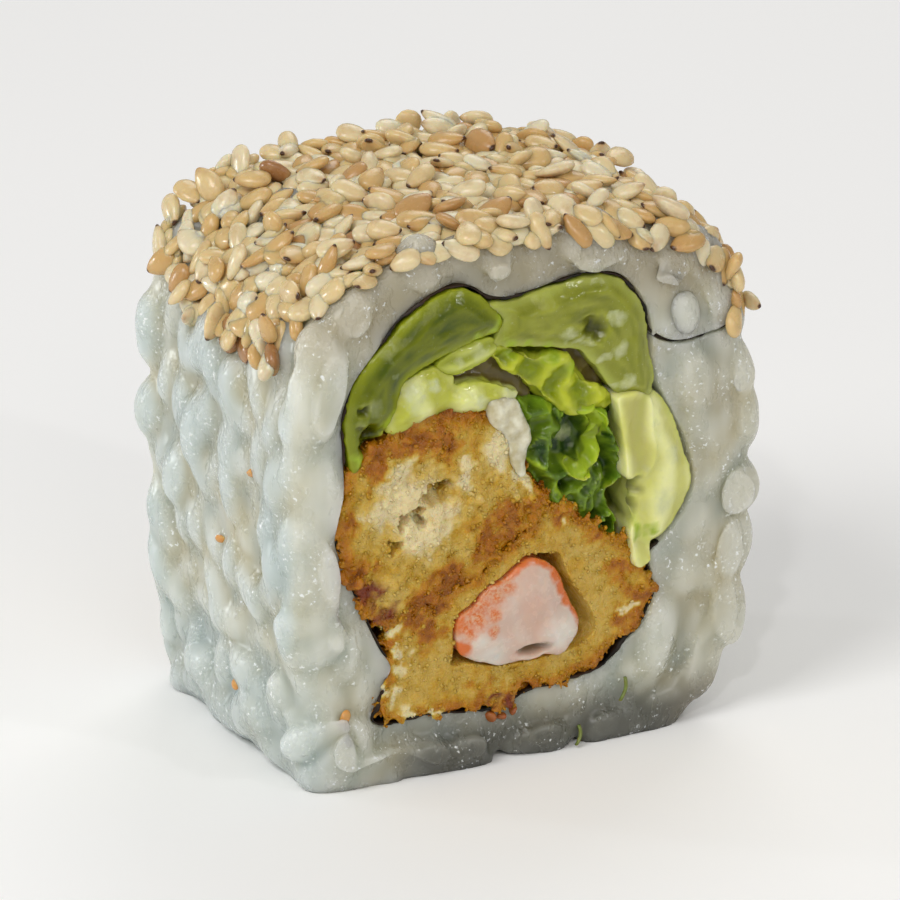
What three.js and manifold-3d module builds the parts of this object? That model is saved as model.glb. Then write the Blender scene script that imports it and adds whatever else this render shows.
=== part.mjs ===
// A thick slice of an inside-out sushi roll, standing on its flat side with both cut faces upright.
// Rice is outside, a sheet of seaweed lies inside it, and the seaweed wraps lettuce and two breaded prawns.
// Everything runs through the slice along Y. The face at -Y is the front. +Z is up, and z = 0 is the underside.
// Lengths are millimetres and angles are radians.
import * as THREE from "three";
import { mergeVertices } from "three/addons/utils/BufferGeometryUtils.js";
import Module from "manifold-3d";

const wasm = await Module();
wasm.setup();

// The slice as a whole
const WIDTH = 42;
const DEPTH = 29.4;
const HEIGHT = 45.4;
const GAP = 0.12; // clearance between touching pieces
const front = -DEPTH / 2;
const back = DEPTH / 2;
const beyond = 4; // how far cutting tools run past the cut faces

// Rice grains and sesame seeds. `rings` are their widest places, from -1 to 1 of the length.
const GRAIN = { length: 5.8, width: 2.9, thick: 2.9, sides: 4, rings: [-0.5, 0.45] };
const CUT_GRAIN = { ...GRAIN, length: 5 };
const SEED = { length: 3.1, width: 2, thick: 1.2, sides: 4, rings: [-0.35] };
const CORE_INSET = 1; // the bare rice core lies this far inside the finished outline
const FACE_INSET = 0.7; // and this far inside each cut face
const SEED_EDGE = 35.5; // seeds cover the rice above this height

// How grains and seeds lie: rows follow the outline, columns run along Y, and `sink` is how deep a middle lies
const SIDE_ROWS = { pitch: 6.6, columns: 7, sway: 2, lean: 0.35, sink: [0.9, 1.4] };
const FACE_ROWS = { insets: [2.1, 5], spread: 1.4, lean: 0.7, sink: [1, 1.4] };
const SEED_ROWS = { pitch: 3.4, columns: 9, tilt: 0.5, sink: [0.6, 0.9], kept: 0.95 };
const EDGE_STEPS = 420; // fine steps round the outline, for placing

// The finished outline of the rice, as (x, z) on the cut face, going round from the lower left corner.
// It dips below z = 0, where the flat underside cuts it off.
const RICE_EDGE = [
  [-18.6, -1.5], [-20.2, 4], [-20.8, 14], [-21, 26], [-20.4, 35.5], [-18.4, 40.4], [-14.4, 43.4], [-8.5, 44.8],
  [1, 45], [9.8, 44.6], [15.4, 43], [18.8, 39.9], [20.4, 35.5], [21, 28], [21, 20], [20.2, 9], [17.2, 2.3],
  [12.8, -0.5], [6, -1.5], [-12, -1.5],
];

// The seaweed's middle line: from its free end in the rice, over the lettuce, down the left side and along the bottom
const NORI_LINE = [
  [18.3, 34.2], [15.4, 33.6], [12.8, 34], [11.1, 35.2], [9.4, 39], [6.2, 40.5], [1.6, 40.2],
  [-2.4, 39.8], [-5.6, 41.2], [-9.8, 40.3], [-14, 36.6], [-16.4, 31.5], [-16.6, 27], [-17.2, 22.4], [-15.6, 16.8], [-12.6, 10.4], [-13.8, 6],
  [-10.4, 4.9], [-4, 4.6], [2.6, 5.2], [7.6, 7.4], [11.4, 11.2], [12.6, 15.4], [13.4, 17.6],
];
const NORI_THICK = 0.36;
const NORI_RECESS = 0.2;
// Where the seaweed is too short to close the loop, the lettuce presses on the rice along this line
const OPEN_SIDE = [
  [15, 19.4], [15.8, 22.6], [14.6, 26], [13, 29.4], [12.1, 32.4],
];

// Lettuce: each leaf follows a line with a thickness at each of its points
const LEAF_RECESS = 0.6; // a leaf's edges lie this far inside the cut faces
const LEAF_SWELL = 0.5; // and its middle swells out by this much
const LEAF_WAVE = { across: 9, up: 7 }; // the lengths of its waves
const RIB_LEFT = {
  line: [[-15.4, 27.6], [-14.3, 31], [-12.3, 34.4], [-9.2, 37.2], [-5.2, 38.7], [-2.9, 38.2]],
  thick: [1.5, 3.2, 4.7, 5, 4, 2.2],
};
const RIB_RIGHT = {
  line: [[-3, 37.4], [1.4, 37.1], [5.4, 36.6], [8.6, 34.6], [9.4, 30.4]],
  thick: [3, 4.8, 6.6, 6.2, 2.6],
};
const LEAF_PALE = {
  line: [[10.6, 30], [10.9, 26.6], [12.2, 22.8], [12.4, 19.6], [11.2, 17.4], [10.4, 14.9]],
  thick: [3, 4.4, 5.4, 4.2, 2, 1],
};
const LEAF_FRILL = {
  line: [[-2.6, 34.4], [0.6, 33.2], [3.6, 31.4], [6.8, 29.4]],
  thick: [1.2, 2.6, 2.8, 1.2],
};
const LEAF_HEART = {
  line: [[-12.4, 31.2], [-9.8, 32.5], [-6.6, 32.3], [-3.8, 31.9]],
  thick: [1, 2.6, 1.7, 1],
};
const RIB_INNER = {
  line: [[-8.6, 34.9], [-6.4, 35.2], [-4, 35.5]],
  thick: [0.7, 1.7, 1],
};
const LEAF_DARK = {
  line: [[0.9, 29.6], [6.8, 28.2], [1.2, 25.8], [7.4, 24.2], [3, 22], [6.8, 20.4]],
  thick: [1.3, 1.8, 2, 2, 1.8, 1.1],
};
const MAYONNAISE = {
  line: [[-2.6, 31.4], [-1.1, 29.6], [-0.7, 27], [-0.4, 24.6]],
  thick: [1, 2, 1.7, 0.8],
};

// The breaded prawns: centre, half sizes and tilt of each section, how square it is, the height of its crumbs,
// how far its ends lie inside the cut faces, and the unevenness of its outline by angle
const COAT_UPPER = {
  x: -8, z: 22.6, across: 8.9, up: 7.9, tilt: -0.12, square: 2.5, crag: 0.5, recess: 0.3,
  wave: (a) => 0.35 * Math.cos(4 * a + 1.1) + 0.3 * Math.sin(3 * a),
};
const COAT_LOWER = {
  x: -1, z: 11.7, across: 12.8, up: 7.1, tilt: 0.16, square: 2.3, crag: 0.45, recess: 0.4,
  wave: (a) => 0.5 * Math.cos(3 * a + 0.6) + 0.35 * Math.sin(5 * a),
};
const PRAWN = {
  x: -1.1, z: 12, across: 5.5, up: 4.4, tilt: 0.1, square: 2, crag: 0.18, recess: 0.1,
  wave: (a) => 0.75 * Math.cos(3 * a + 1.6) + 0.25 * Math.sin(5 * a + 0.8),
};
const PRAWN_HOLLOW = { x: 0.3, z: 12, across: 6.3, up: 5, tilt: 0.2 }; // the looser hole round it
const CRAG_SIZE = { sides: 3.4, faces: 4.6 }; // how far apart the crumbs' lumps are

// A repeatable random number from 0 to 1 for each call
function seeded(seed) {
  let state = seed;
  return () => {
    state = (state + 0x6d2b79f5) | 0;
    let t = Math.imul(state ^ (state >>> 15), 1 | state);
    t = (t + Math.imul(t ^ (t >>> 7), 61 | t)) ^ t;
    return ((t ^ (t >>> 14)) >>> 0) / 4294967296;
  };
}

// Smooth unevenness from -1 to 1, with lumps about `size` across
function lumps(x, y, z, size, phase) {
  const k = (2 * Math.PI) / size;
  const a = Math.sin(k * x + 1.7 * phase) * Math.cos(0.83 * k * z - phase);
  const b = Math.sin(0.71 * k * y + 0.6 * k * x + 2.3 * phase) * Math.cos(0.9 * k * y - 0.4 * k * z + phase);
  return 0.6 * a + 0.4 * b;
}

function solidOf(geometry) {
  const bare = geometry.clone();
  for (const extra of ["normal", "uv"]) bare.deleteAttribute(extra);
  const merged = mergeVertices(bare, 1e-4);
  return new wasm.Manifold(
    new wasm.Mesh({
      numProp: 3,
      vertProperties: Float32Array.from(merged.attributes.position.array),
      triVerts: Uint32Array.from(merged.index.array),
    }),
  );
}

// The largest single body of a solid: cuts can leave loose scraps
function mainBody(solid) {
  return solid.decompose().reduce((best, body) => (body.volume() > best.volume() ? body : best));
}

function meshOf(name, solid, colour, roughness) {
  const made = mainBody(solid).getMesh();
  const geometry = new THREE.BufferGeometry();
  geometry.setAttribute("position", new THREE.BufferAttribute(made.vertProperties, 3));
  geometry.setIndex(new THREE.BufferAttribute(made.triVerts, 1));
  const flat = geometry.toNonIndexed();
  flat.computeVertexNormals();
  const material = new THREE.MeshStandardMaterial({ color: colour, roughness, metalness: 0, flatShading: true });
  const mesh = new THREE.Mesh(flat, material);
  mesh.name = name;
  return mesh;
}

// A smooth line through (x, z) points, as evenly spaced Vector2s
function smoothLine(points, closed, count) {
  const knots = points.map(([x, z]) => new THREE.Vector3(x, z, 0));
  const curve = new THREE.CatmullRomCurve3(knots, closed, "centripetal");
  const made = curve.getSpacedPoints(count).map((p) => new THREE.Vector2(p.x, p.y));
  return closed ? made.slice(0, -1) : made;
}

// The unit normal at point i of a line, to the left of the way it runs
function normalAt(line, i, closed) {
  const n = line.length;
  const before = line[closed ? (i + n - 1) % n : Math.max(i - 1, 0)];
  const after = line[closed ? (i + 1) % n : Math.min(i + 1, n - 1)];
  const along = after.clone().sub(before).normalize();
  return new THREE.Vector2(-along.y, along.x);
}

function shifted(line, distance, closed) {
  return line.map((p, i) => p.clone().addScaledVector(normalAt(line, i, closed), distance));
}

// A closed (x, z) outline run along Y from y0 to y1
function prism(outline, y0, y1) {
  const made = new THREE.ExtrudeGeometry(new THREE.Shape(outline), { depth: y1 - y0, bevelEnabled: false });
  made.rotateX(Math.PI / 2);
  made.translate(0, y1, 0);
  return solidOf(made);
}

// A strip of even thickness along an open (x, z) line
function strip(line, thick, y0, y1) {
  const left = shifted(line, thick / 2, false);
  const right = shifted(line, -thick / 2, false);
  return prism([...left, ...right.reverse()], y0, y1);
}

// A grain or a seed, lying along Z and flattened along X, with one of its flat sides facing X.
// Its section has a round one's area.
function kernel({ length, width, thick, sides, rings }) {
  const sector = Math.PI / sides;
  const corner = (width / 2) * Math.sqrt(sector / (Math.sin(sector) * Math.cos(sector)));
  const profile = [-1, ...rings, 1].map((share) => {
    const radius = Math.abs(share) < 1 ? corner : 0;
    return new THREE.Vector2(radius, (share * length) / 2);
  });
  const made = new THREE.LatheGeometry(profile, sides, sector);
  made.rotateX(Math.PI / 2);
  made.scale(thick / width, 1, 1);
  return made;
}

// A kernel moved to `at`, lying along `along`, with its flat side facing `out`
function laid(shape, at, along, out) {
  const side = new THREE.Vector3().crossVectors(along, out).normalize();
  const face = new THREE.Vector3().crossVectors(side, along).normalize();
  const turn = new THREE.Matrix4().makeBasis(face, side, along.clone().normalize()).setPosition(at);
  const placed = shape.clone().applyMatrix4(turn);
  return solidOf(placed);
}

// The thickness at a share of a leaf's line, from 0 to 1
function thickAt(thick, share) {
  const place = share * (thick.length - 1);
  const low = Math.min(Math.floor(place), thick.length - 2);
  return THREE.MathUtils.lerp(thick[low], thick[low + 1], place - low);
}

// A leaf: a box bent along a line, with waves that change along Y. `grow` makes it larger all round.
function leaf(shape, wave, phase, grow = 0) {
  const stepsAlong = 2 * (shape.line.length - 1);
  const stepsDeep = 4;
  const line = smoothLine(shape.line, false, stepsAlong);
  const made = new THREE.BoxGeometry(1, 1, 1, stepsAlong, 2, stepsDeep);
  const spot = made.getAttribute("position");
  for (let i = 0; i < spot.count; i++) {
    const along = spot.getX(i) + 0.5;
    const across = spot.getY(i) * 2;
    const deep = spot.getZ(i) * 2;
    const step = Math.round(along * stepsAlong);
    const normal = normalAt(line, step, false);
    const swell = (1 - Math.abs(across)) * LEAF_SWELL;
    const y = -deep * (DEPTH / 2 - LEAF_RECESS + swell + grow);
    const pastEnd = step === 0 ? -grow : step === stepsAlong ? grow : 0;
    const p = line[step].clone();
    p.addScaledVector(normal, (across * thickAt(shape.thick, along)) / 2 + Math.sign(across) * grow);
    p.add(new THREE.Vector2(normal.y, -normal.x).multiplyScalar(pastEnd));
    p.x += wave * lumps(p.x, y, p.y, LEAF_WAVE.across, phase);
    p.y += wave * lumps(p.y, y, p.x, LEAF_WAVE.up, phase + 2);
    spot.setXYZ(i, p.x, y, p.y);
  }
  return solidOf(made);
}

// A point on the outline of a bar's section at an angle, scaled by `share` towards its middle
function sectionPoint(shape, angle, share, grow) {
  const c = Math.cos(angle);
  const s = Math.sin(angle);
  const n = shape.square;
  const reach = share * Math.pow(Math.pow(Math.abs(c), n) + Math.pow(Math.abs(s), n), -1 / n);
  const p = new THREE.Vector2((shape.across + grow) * reach * c, (shape.up + grow) * reach * s);
  return p.rotateAround(new THREE.Vector2(0, 0), shape.tilt).add(new THREE.Vector2(shape.x, shape.z));
}

// A craggy rounded bar along Y: a sphere whose two caps are pressed flat as the cut faces
function bar(shape, grow = 0) {
  const around = 26;
  const rows = 11; // rings from the front pole to the back pole
  const capRows = 3; // rings on each cut face
  const bodyRows = rows - 1 - 2 * capRows;
  const half = DEPTH / 2 - shape.recess + grow;
  const middle = new THREE.Vector2(shape.x, shape.z);
  const made = new THREE.SphereGeometry(1, around, rows - 1);
  const spot = made.getAttribute("position");
  for (let i = 0; i < spot.count; i++) {
    const row = Math.floor(i / (around + 1));
    const angle = ((i % (around + 1)) / around) * 2 * Math.PI;
    const fromEnd = Math.min(row, rows - 1 - row);
    const facing = row < rows / 2 ? -1 : 1;
    const share = Math.min(fromEnd / capRows, 1);
    const p = sectionPoint(shape, angle, share, grow);
    let y = fromEnd <= capRows ? facing * half : half * ((2 * (row - capRows)) / bodyRows - 1);
    if (share === 1) {
      const rough = shape.crag * lumps(p.x, y, p.y, CRAG_SIZE.sides, shape.x) + shape.wave(angle);
      p.addScaledVector(p.clone().sub(middle).normalize(), rough);
    } else if (share > 0) {
      y -= facing * shape.crag * Math.abs(lumps(p.x, p.y, y, CRAG_SIZE.faces, shape.z));
    }
    spot.setXYZ(i, p.x, y, p.y);
  }
  return solidOf(made);
}

// The loose hole that the prawn has shrunk away from, right through its coat
function prawnHollow() {
  const { x, z, across, up, tilt } = PRAWN_HOLLOW;
  const outline = new THREE.EllipseCurve(x, z, across, up, 0, 2 * Math.PI, false, tilt).getPoints(20).slice(0, -1);
  return prism(outline, front - beyond, back + beyond);
}

const noriLine = smoothLine(NORI_LINE, false, 60);
const tailPoints = 9; // the part of the line that lies within the rice
const loopLine = [...noriLine.slice(tailPoints), ...smoothLine(OPEN_SIDE, false, 10)];

function makeNori() {
  return strip(noriLine, NORI_THICK, front + NORI_RECESS, back - NORI_RECESS);
}

// The hole through the rice: the seaweed's loop and its free end, with clearance
function riceHole() {
  const loop = prism(shifted(loopLine, -(NORI_THICK / 2 + GAP), true), front - beyond, back + beyond);
  return loop.add(strip(noriLine, NORI_THICK + 2 * GAP, front - beyond, back + beyond));
}

// The room inside the seaweed
function fillingRoom() {
  const all = prism(loopLine, front - beyond, back + beyond);
  return all.subtract(strip(noriLine, NORI_THICK + 2 * GAP, front - 2 * beyond, back + 2 * beyond));
}

// The core of packed rice. Its underside lies below z = 0 until the whole is trimmed.
function riceCore() {
  const edge = shifted(smoothLine(RICE_EDGE, true, 48), -CORE_INSET, true);
  return prism(edge, front + FACE_INSET, back - FACE_INSET);
}

// Staggered places round the outline where `wanted` holds, with the way out of the rice at each
function placesRound(rows, wanted, random) {
  const edge = smoothLine(RICE_EDGE, true, EDGE_STEPS);
  const around = edge.reduce((sum, p, i) => sum + p.distanceTo(edge[(i + 1) % edge.length]), 0);
  const rowCount = Math.round(around / rows.pitch);
  const places = [];
  for (let row = 0; row < rowCount; row++) {
    for (let column = 0; column < rows.columns; column++) {
      const turn = (row + 0.4 * random()) / rowCount;
      const i = Math.floor(turn * edge.length) % edge.length;
      const stagger = 0.5 * (row % 2) + 0.3 * random();
      const y = DEPTH * ((column + stagger + 0.1) / (rows.columns + 0.2) - 0.5);
      const normal = normalAt(edge, i, true);
      if (!wanted(edge[i])) continue;
      places.push([new THREE.Vector3(edge[i].x, y, edge[i].y), new THREE.Vector3(normal.x, 0, normal.y)]);
    }
  }
  return places;
}

function between([low, high], random) {
  return THREE.MathUtils.lerp(low, high, random());
}

// Grains up the two sides, mostly upright
function sideGrains(random) {
  const shape = kernel(GRAIN);
  const bare = (p) => p.y > 1.2 && p.y < SEED_EDGE + 1.5;
  return placesRound(SIDE_ROWS, bare, random).map(([at, out]) => {
    const upright = new THREE.Vector3(-out.z, 0, out.x);
    const along = upright.applyAxisAngle(out, (random() - 0.5) * SIDE_ROWS.sway);
    along.addScaledVector(out, (random() - 0.5) * SIDE_ROWS.lean);
    at.y = THREE.MathUtils.clamp(at.y, front + GRAIN.thick / 2, back - GRAIN.thick / 2);
    return laid(shape, at.addScaledVector(out, -between(SIDE_ROWS.sink, random)), along, out);
  });
}

// Grains cut by the knife on both faces, in rings round the seaweed. Few show where it smeared them.
function faceGrains(random) {
  const shape = kernel(CUT_GRAIN);
  const edge = smoothLine(RICE_EDGE, true, 28);
  const made = [];
  for (const side of [-1, 1]) {
    for (const inset of FACE_ROWS.insets) {
      edge.forEach((p, i) => {
        const reach = inset + (random() - 0.5) * FACE_ROWS.spread;
        const place = p.clone().addScaledVector(normalAt(edge, i, true), -reach);
        const turn = random() * Math.PI;
        const along = new THREE.Vector3(Math.cos(turn), (random() - 0.5) * FACE_ROWS.lean, Math.sin(turn));
        const y = side * (DEPTH / 2 - between(FACE_ROWS.sink, random));
        const smeared = place.y > 38 || (place.x < -15 && place.y > 20);
        const inner = inset > FACE_ROWS.insets[0];
        if ((smeared && i % 3) || (inner && i % 2)) return;
        const at = new THREE.Vector3(place.x, y, Math.max(place.y, GRAIN.thick / 2));
        made.push(laid(shape, at, along, new THREE.Vector3(0, side, 0)));
      });
    }
  }
  return made;
}

// Sesame seeds over the top, each turned its own way
function topSeeds(random) {
  const shape = kernel(SEED);
  const places = placesRound(SEED_ROWS, (p) => p.y > SEED_EDGE, random).filter(() => random() < SEED_ROWS.kept);
  return places.map(([at, out]) => {
    const turn = random() * Math.PI * 2;
    const along = new THREE.Vector3(-out.z * Math.cos(turn), Math.sin(turn), out.x * Math.cos(turn));
    const facing = out.clone().add(new THREE.Vector3(0, (random() - 0.5) * SEED_ROWS.tilt, 0));
    return laid(shape, at.addScaledVector(out, -between(SEED_ROWS.sink, random)), along, facing);
  });
}

function makeRice() {
  const random = seeded(20);
  const pieces = [riceCore(), ...sideGrains(random), ...faceGrains(random), ...topSeeds(random)];
  const bounds = new THREE.BoxGeometry(WIDTH, DEPTH, HEIGHT);
  bounds.translate(0, 0, HEIGHT / 2);
  return wasm.Manifold.union(pieces).intersect(solidOf(bounds)).subtract(riceHole());
}

const room = fillingRoom();
const coatLower = bar(COAT_LOWER).subtract(prawnHollow().add(bar(PRAWN, GAP)));
const coatUpper = bar(COAT_UPPER).subtract(bar(COAT_LOWER, GAP));

const roll = new THREE.Group();
roll.add(meshOf("rice", makeRice(), 0xdadbd2, 0.4));
roll.add(meshOf("nori", makeNori(), 0x1d1a14, 0.5));
roll.add(meshOf("coat_lower", coatLower.intersect(room), 0xb9873f, 0.8));
roll.add(meshOf("coat_upper", coatUpper.intersect(room), 0xc08c42, 0.8));
roll.add(meshOf("prawn", bar(PRAWN).intersect(room), 0xe0b9a6, 0.35));

// Each leaf gives way to the coats and to the leaves before it
const leaves = [
  { name: "rib_left", shape: RIB_LEFT, wave: 0.25, colour: 0x7d9a35 },
  { name: "rib_right", shape: RIB_RIGHT, wave: 0.3, colour: 0x93ab4c },
  { name: "leaf_pale", shape: LEAF_PALE, wave: 0.4, colour: 0xc9cf7c },
  { name: "rib_inner", shape: RIB_INNER, wave: 0.15, colour: 0xbecb6d },
  { name: "leaf_heart", shape: LEAF_HEART, wave: 0.2, colour: 0xcfd384 },
  { name: "leaf_frill", shape: LEAF_FRILL, wave: 0.4, colour: 0x9db32c },
  { name: "mayonnaise", shape: MAYONNAISE, wave: 0.15, colour: 0xf1ead2 },
  { name: "leaf_dark", shape: LEAF_DARK, wave: 0.2, colour: 0x3f6a23 },
];
let taken = bar(COAT_UPPER, GAP).add(bar(COAT_LOWER, GAP));
leaves.forEach(({ name, shape, wave, colour }, i) => {
  roll.add(meshOf(name, leaf(shape, wave, i + 1).subtract(taken).intersect(room), colour, 0.35));
  taken = taken.add(leaf(shape, wave, i + 1, GAP));
});

export default roll;
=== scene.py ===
# A thick slice of an inside-out sushi roll: rice and sesame outside, and seaweed, lettuce and breaded
# prawns inside. Sizes in the dictionaries are millimetres, and the meshes are metres.
# The shown cut face is at -Y, and +Z is up.
import math
import bpy
import numpy as np
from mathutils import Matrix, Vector


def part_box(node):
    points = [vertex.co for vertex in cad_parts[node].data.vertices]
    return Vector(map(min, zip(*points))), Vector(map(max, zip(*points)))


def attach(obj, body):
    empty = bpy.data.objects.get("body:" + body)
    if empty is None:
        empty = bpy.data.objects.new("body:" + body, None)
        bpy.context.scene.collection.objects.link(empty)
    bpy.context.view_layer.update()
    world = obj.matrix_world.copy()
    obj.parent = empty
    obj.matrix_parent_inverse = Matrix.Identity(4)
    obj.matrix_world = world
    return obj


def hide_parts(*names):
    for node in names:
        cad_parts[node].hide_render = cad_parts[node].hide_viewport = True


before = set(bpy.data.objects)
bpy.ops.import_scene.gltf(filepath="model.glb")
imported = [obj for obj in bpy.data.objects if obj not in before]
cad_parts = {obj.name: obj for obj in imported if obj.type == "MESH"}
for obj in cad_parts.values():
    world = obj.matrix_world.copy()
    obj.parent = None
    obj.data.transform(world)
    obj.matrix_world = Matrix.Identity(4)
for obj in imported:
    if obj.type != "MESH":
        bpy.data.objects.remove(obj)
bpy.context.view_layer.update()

mm = 0.001
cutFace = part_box("rice")[1].y / mm  # half the slice's depth
rng = np.random.default_rng(11)


# Modelling tools
def deselectAll():
    if bpy.context.object and bpy.context.object.mode != "OBJECT":
        bpy.ops.object.mode_set(mode="OBJECT")
    bpy.ops.object.select_all(action="DESELECT")


def choose(obj):
    deselectAll()
    obj.select_set(True)
    bpy.context.view_layer.objects.active = obj


def inEditMode(obj, *actions):
    choose(obj)
    bpy.ops.object.mode_set(mode="EDIT")
    bpy.ops.mesh.select_all(action="SELECT")
    for action in actions:
        action()
    bpy.ops.object.mode_set(mode="OBJECT")


def modify(obj, kind, **settings):
    choose(obj)
    modifier = obj.modifiers.new(kind.title(), kind)
    for key, value in settings.items():
        setattr(modifier, key, value)
    bpy.ops.object.modifier_apply(modifier=modifier.name)


def smooth(obj, iterations):
    modify(obj, "SMOOTH", factor=0.5, iterations=iterations)


# One closed surface round all of a mesh, in faces about `voxel` millimetres wide
def remesh(obj, voxel, iterations):
    modify(obj, "REMESH", mode="VOXEL", voxel_size=voxel * mm)
    smooth(obj, iterations)


def coordsOf(obj):
    coords = np.empty(len(obj.data.vertices) * 3, np.float32)
    obj.data.vertices.foreach_get("co", coords)
    return coords.reshape(-1, 3).astype(float) / mm


def setCoords(obj, coords):
    obj.data.vertices.foreach_set("co", (coords * mm).astype(np.float32).ravel())
    obj.data.update()


def normalsOf(obj):
    normals = np.empty(len(obj.data.vertices) * 3, np.float32)
    obj.data.vertices.foreach_get("normal", normals)
    return normals.reshape(-1, 3).astype(float)


def push(obj, amount):
    setCoords(obj, coordsOf(obj) + normalsOf(obj) * amount[:, None])


def paint(obj, name, values):
    attribute = obj.data.attributes.get(name) or obj.data.attributes.new(name, "FLOAT", "POINT")
    attribute.data.foreach_set("value", np.clip(values, 0, 1).astype(np.float32))


def smoothLine(points, closed, spacing):
    knots = np.array(points, float)
    count = len(knots)
    pieces = []
    for i in range(count if closed else count - 1):
        around = [i - 1, i, i + 1, i + 2]
        if closed:
            p0, p1, p2, p3 = (knots[j % count] for j in around)
        else:
            p0, p1, p2, p3 = (knots[min(max(j, 0), count - 1)] for j in around)
        t = np.linspace(0, 1, 24, endpoint=False)[:, None]
        pieces.append(0.5 * (2 * p1 + (p2 - p0) * t + (2 * p0 - 5 * p1 + 4 * p2 - p3) * t**2
                             + (3 * p1 - p0 - 3 * p2 + p3) * t**3))
    line = np.vstack(pieces + [knots[:1] if closed else knots[-1:]])
    steps = np.linalg.norm(np.diff(line, axis=0), axis=1)
    reach = np.concatenate([[0], np.cumsum(steps)])
    number = max(int(round(reach[-1] / spacing)), 4)
    at = np.linspace(0, reach[-1], number + 1)
    made = np.column_stack([np.interp(at, reach, line[:, k]) for k in (0, 1)])
    return made[:-1] if closed else made


def outlineOf(points):
    return smoothLine(points, True, 0.25)


def sideways(line, closed):
    before = np.roll(line, 1, 0)
    after = np.roll(line, -1, 0)
    if not closed:
        before[0] = line[0]
        after[-1] = line[-1]
    along = after - before
    along /= np.linalg.norm(along, axis=1)[:, None] + 1e-9
    return np.column_stack([-along[:, 1], along[:, 0]])


def shifted(line, distance, closed):
    return line + sideways(line, closed) * distance


def area(line):
    after = np.roll(line, -1, 0)
    return 0.5 * np.sum(line[:, 0] * after[:, 1] - after[:, 0] * line[:, 1])


def shrunk(line, distance):
    return shifted(line, distance if area(line) > 0 else -distance, True)


def distanceTo(line, xz, closed):
    ends = np.roll(line, -1, 0) if closed else line[1:]
    starts = line if closed else line[:-1]
    nearest = np.full(len(xz), 1e9)
    for a, b in zip(starts, ends):
        run = b - a
        share = np.clip(((xz - a) @ run) / (run @ run + 1e-12), 0, 1)
        nearest = np.minimum(nearest, np.linalg.norm(xz - a - share[:, None] * run, axis=1))
    return nearest


slopes = rng.normal(size=(256, 3))
slopes /= np.linalg.norm(slopes, axis=1)[:, None]
shuffled = rng.permutation(256)


def gradientNoise(place):
    cell = np.floor(place).astype(int)
    inCell = place - cell
    fade = inCell**3 * (inCell * (inCell * 6 - 15) + 10)
    total = np.zeros(len(place))
    for corner in np.ndindex(2, 2, 2):
        x, y, z = (cell + corner).T
        slope = slopes[shuffled[(shuffled[(shuffled[x & 255] + y) & 255] + z) & 255]]
        weight = np.prod(np.where(corner, fade, 1 - fade), axis=1)
        total += weight * np.sum(slope * (inCell - corner), axis=1)
    return total * 1.5


# Smooth random lumps about `size` millimetres across, from about -1 to 1
def lumps(coords, size, octaves=2, shift=0.0):
    place = coords / size + shift
    return sum(gradientNoise(place * 2**k + 17.3 * k) * 0.6**k for k in range(octaves))


def spots(xz, places):
    found = np.zeros(len(xz))
    for x, z, radius in places:
        away = np.hypot(xz[:, 0] - x, xz[:, 1] - z) / radius
        found = np.maximum(found, np.clip(1.35 - away, 0, 1))
    return found


def step(low, high, values):
    t = np.clip((values - low) / (high - low), 0, 1)
    return t * t * (3 - 2 * t)


# The (x, z) of points, pushed about so that the spots painted there get ragged edges
def raggedPlaces(p, amount, size, octaves, seed):
    pushes = [lumps(p, size, octaves, seed + 2), lumps(p, size, octaves, seed + 5)]
    return p[:, [0, 2]] + amount * np.column_stack(pushes)


def prism(name, outline, front, back):
    deselectAll()
    bpy.ops.mesh.primitive_circle_add(vertices=len(outline), fill_type="NGON")
    obj = bpy.context.object
    obj.name = name
    setCoords(obj, np.column_stack([outline[:, 0], np.full(len(outline), front), outline[:, 1]]))
    depth = {"value": (0, (back - front) * mm, 0)}
    inEditMode(
        obj,
        lambda: bpy.ops.mesh.extrude_region_move(TRANSFORM_OT_translate=depth),
        lambda: bpy.ops.mesh.select_all(action="SELECT"),
        lambda: bpy.ops.mesh.normals_make_consistent(inside=False),
    )
    return obj


def cutAway(obj, cutter):
    modify(obj, "BOOLEAN", object=cutter, operation="DIFFERENCE", solver="MANIFOLD")
    bpy.data.objects.remove(cutter)


def joinInto(obj, others):
    choose(obj)
    for other in others:
        other.select_set(True)
    bpy.ops.object.join()


# Copies of one modelled shape, each turned and moved, as one mesh
def scattered(name, shape, placings):
    base = coordsOf(shape)
    loops = [list(p.vertices) for p in shape.data.polygons]
    coords = []
    faces = []
    for turn, at, size in placings:
        faces += [[v + len(coords) * len(base) for v in loop] for loop in loops]
        coords.append((base * size) @ turn.T + at)
    data = bpy.data.meshes.new(name)
    data.from_pydata((np.vstack(coords) * mm).tolist(), [], faces)
    obj = bpy.data.objects.new(name, data)
    bpy.context.collection.objects.link(obj)
    return obj


def turnTo(along, out):
    along = along / np.linalg.norm(along)
    side = np.cross(out, along)
    side /= np.linalg.norm(side)
    return np.column_stack([along, side, np.cross(along, side)])


def anyTurn():
    return turnTo(rng.normal(0, 1, 3), rng.normal(0, 1, 3))


def finishPiece(obj, node, finish):
    choose(obj)
    bpy.ops.object.shade_smooth()
    obj.data.materials.clear()
    obj.data.materials.append(finish)
    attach(obj, "root")
    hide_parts(node)


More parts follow.
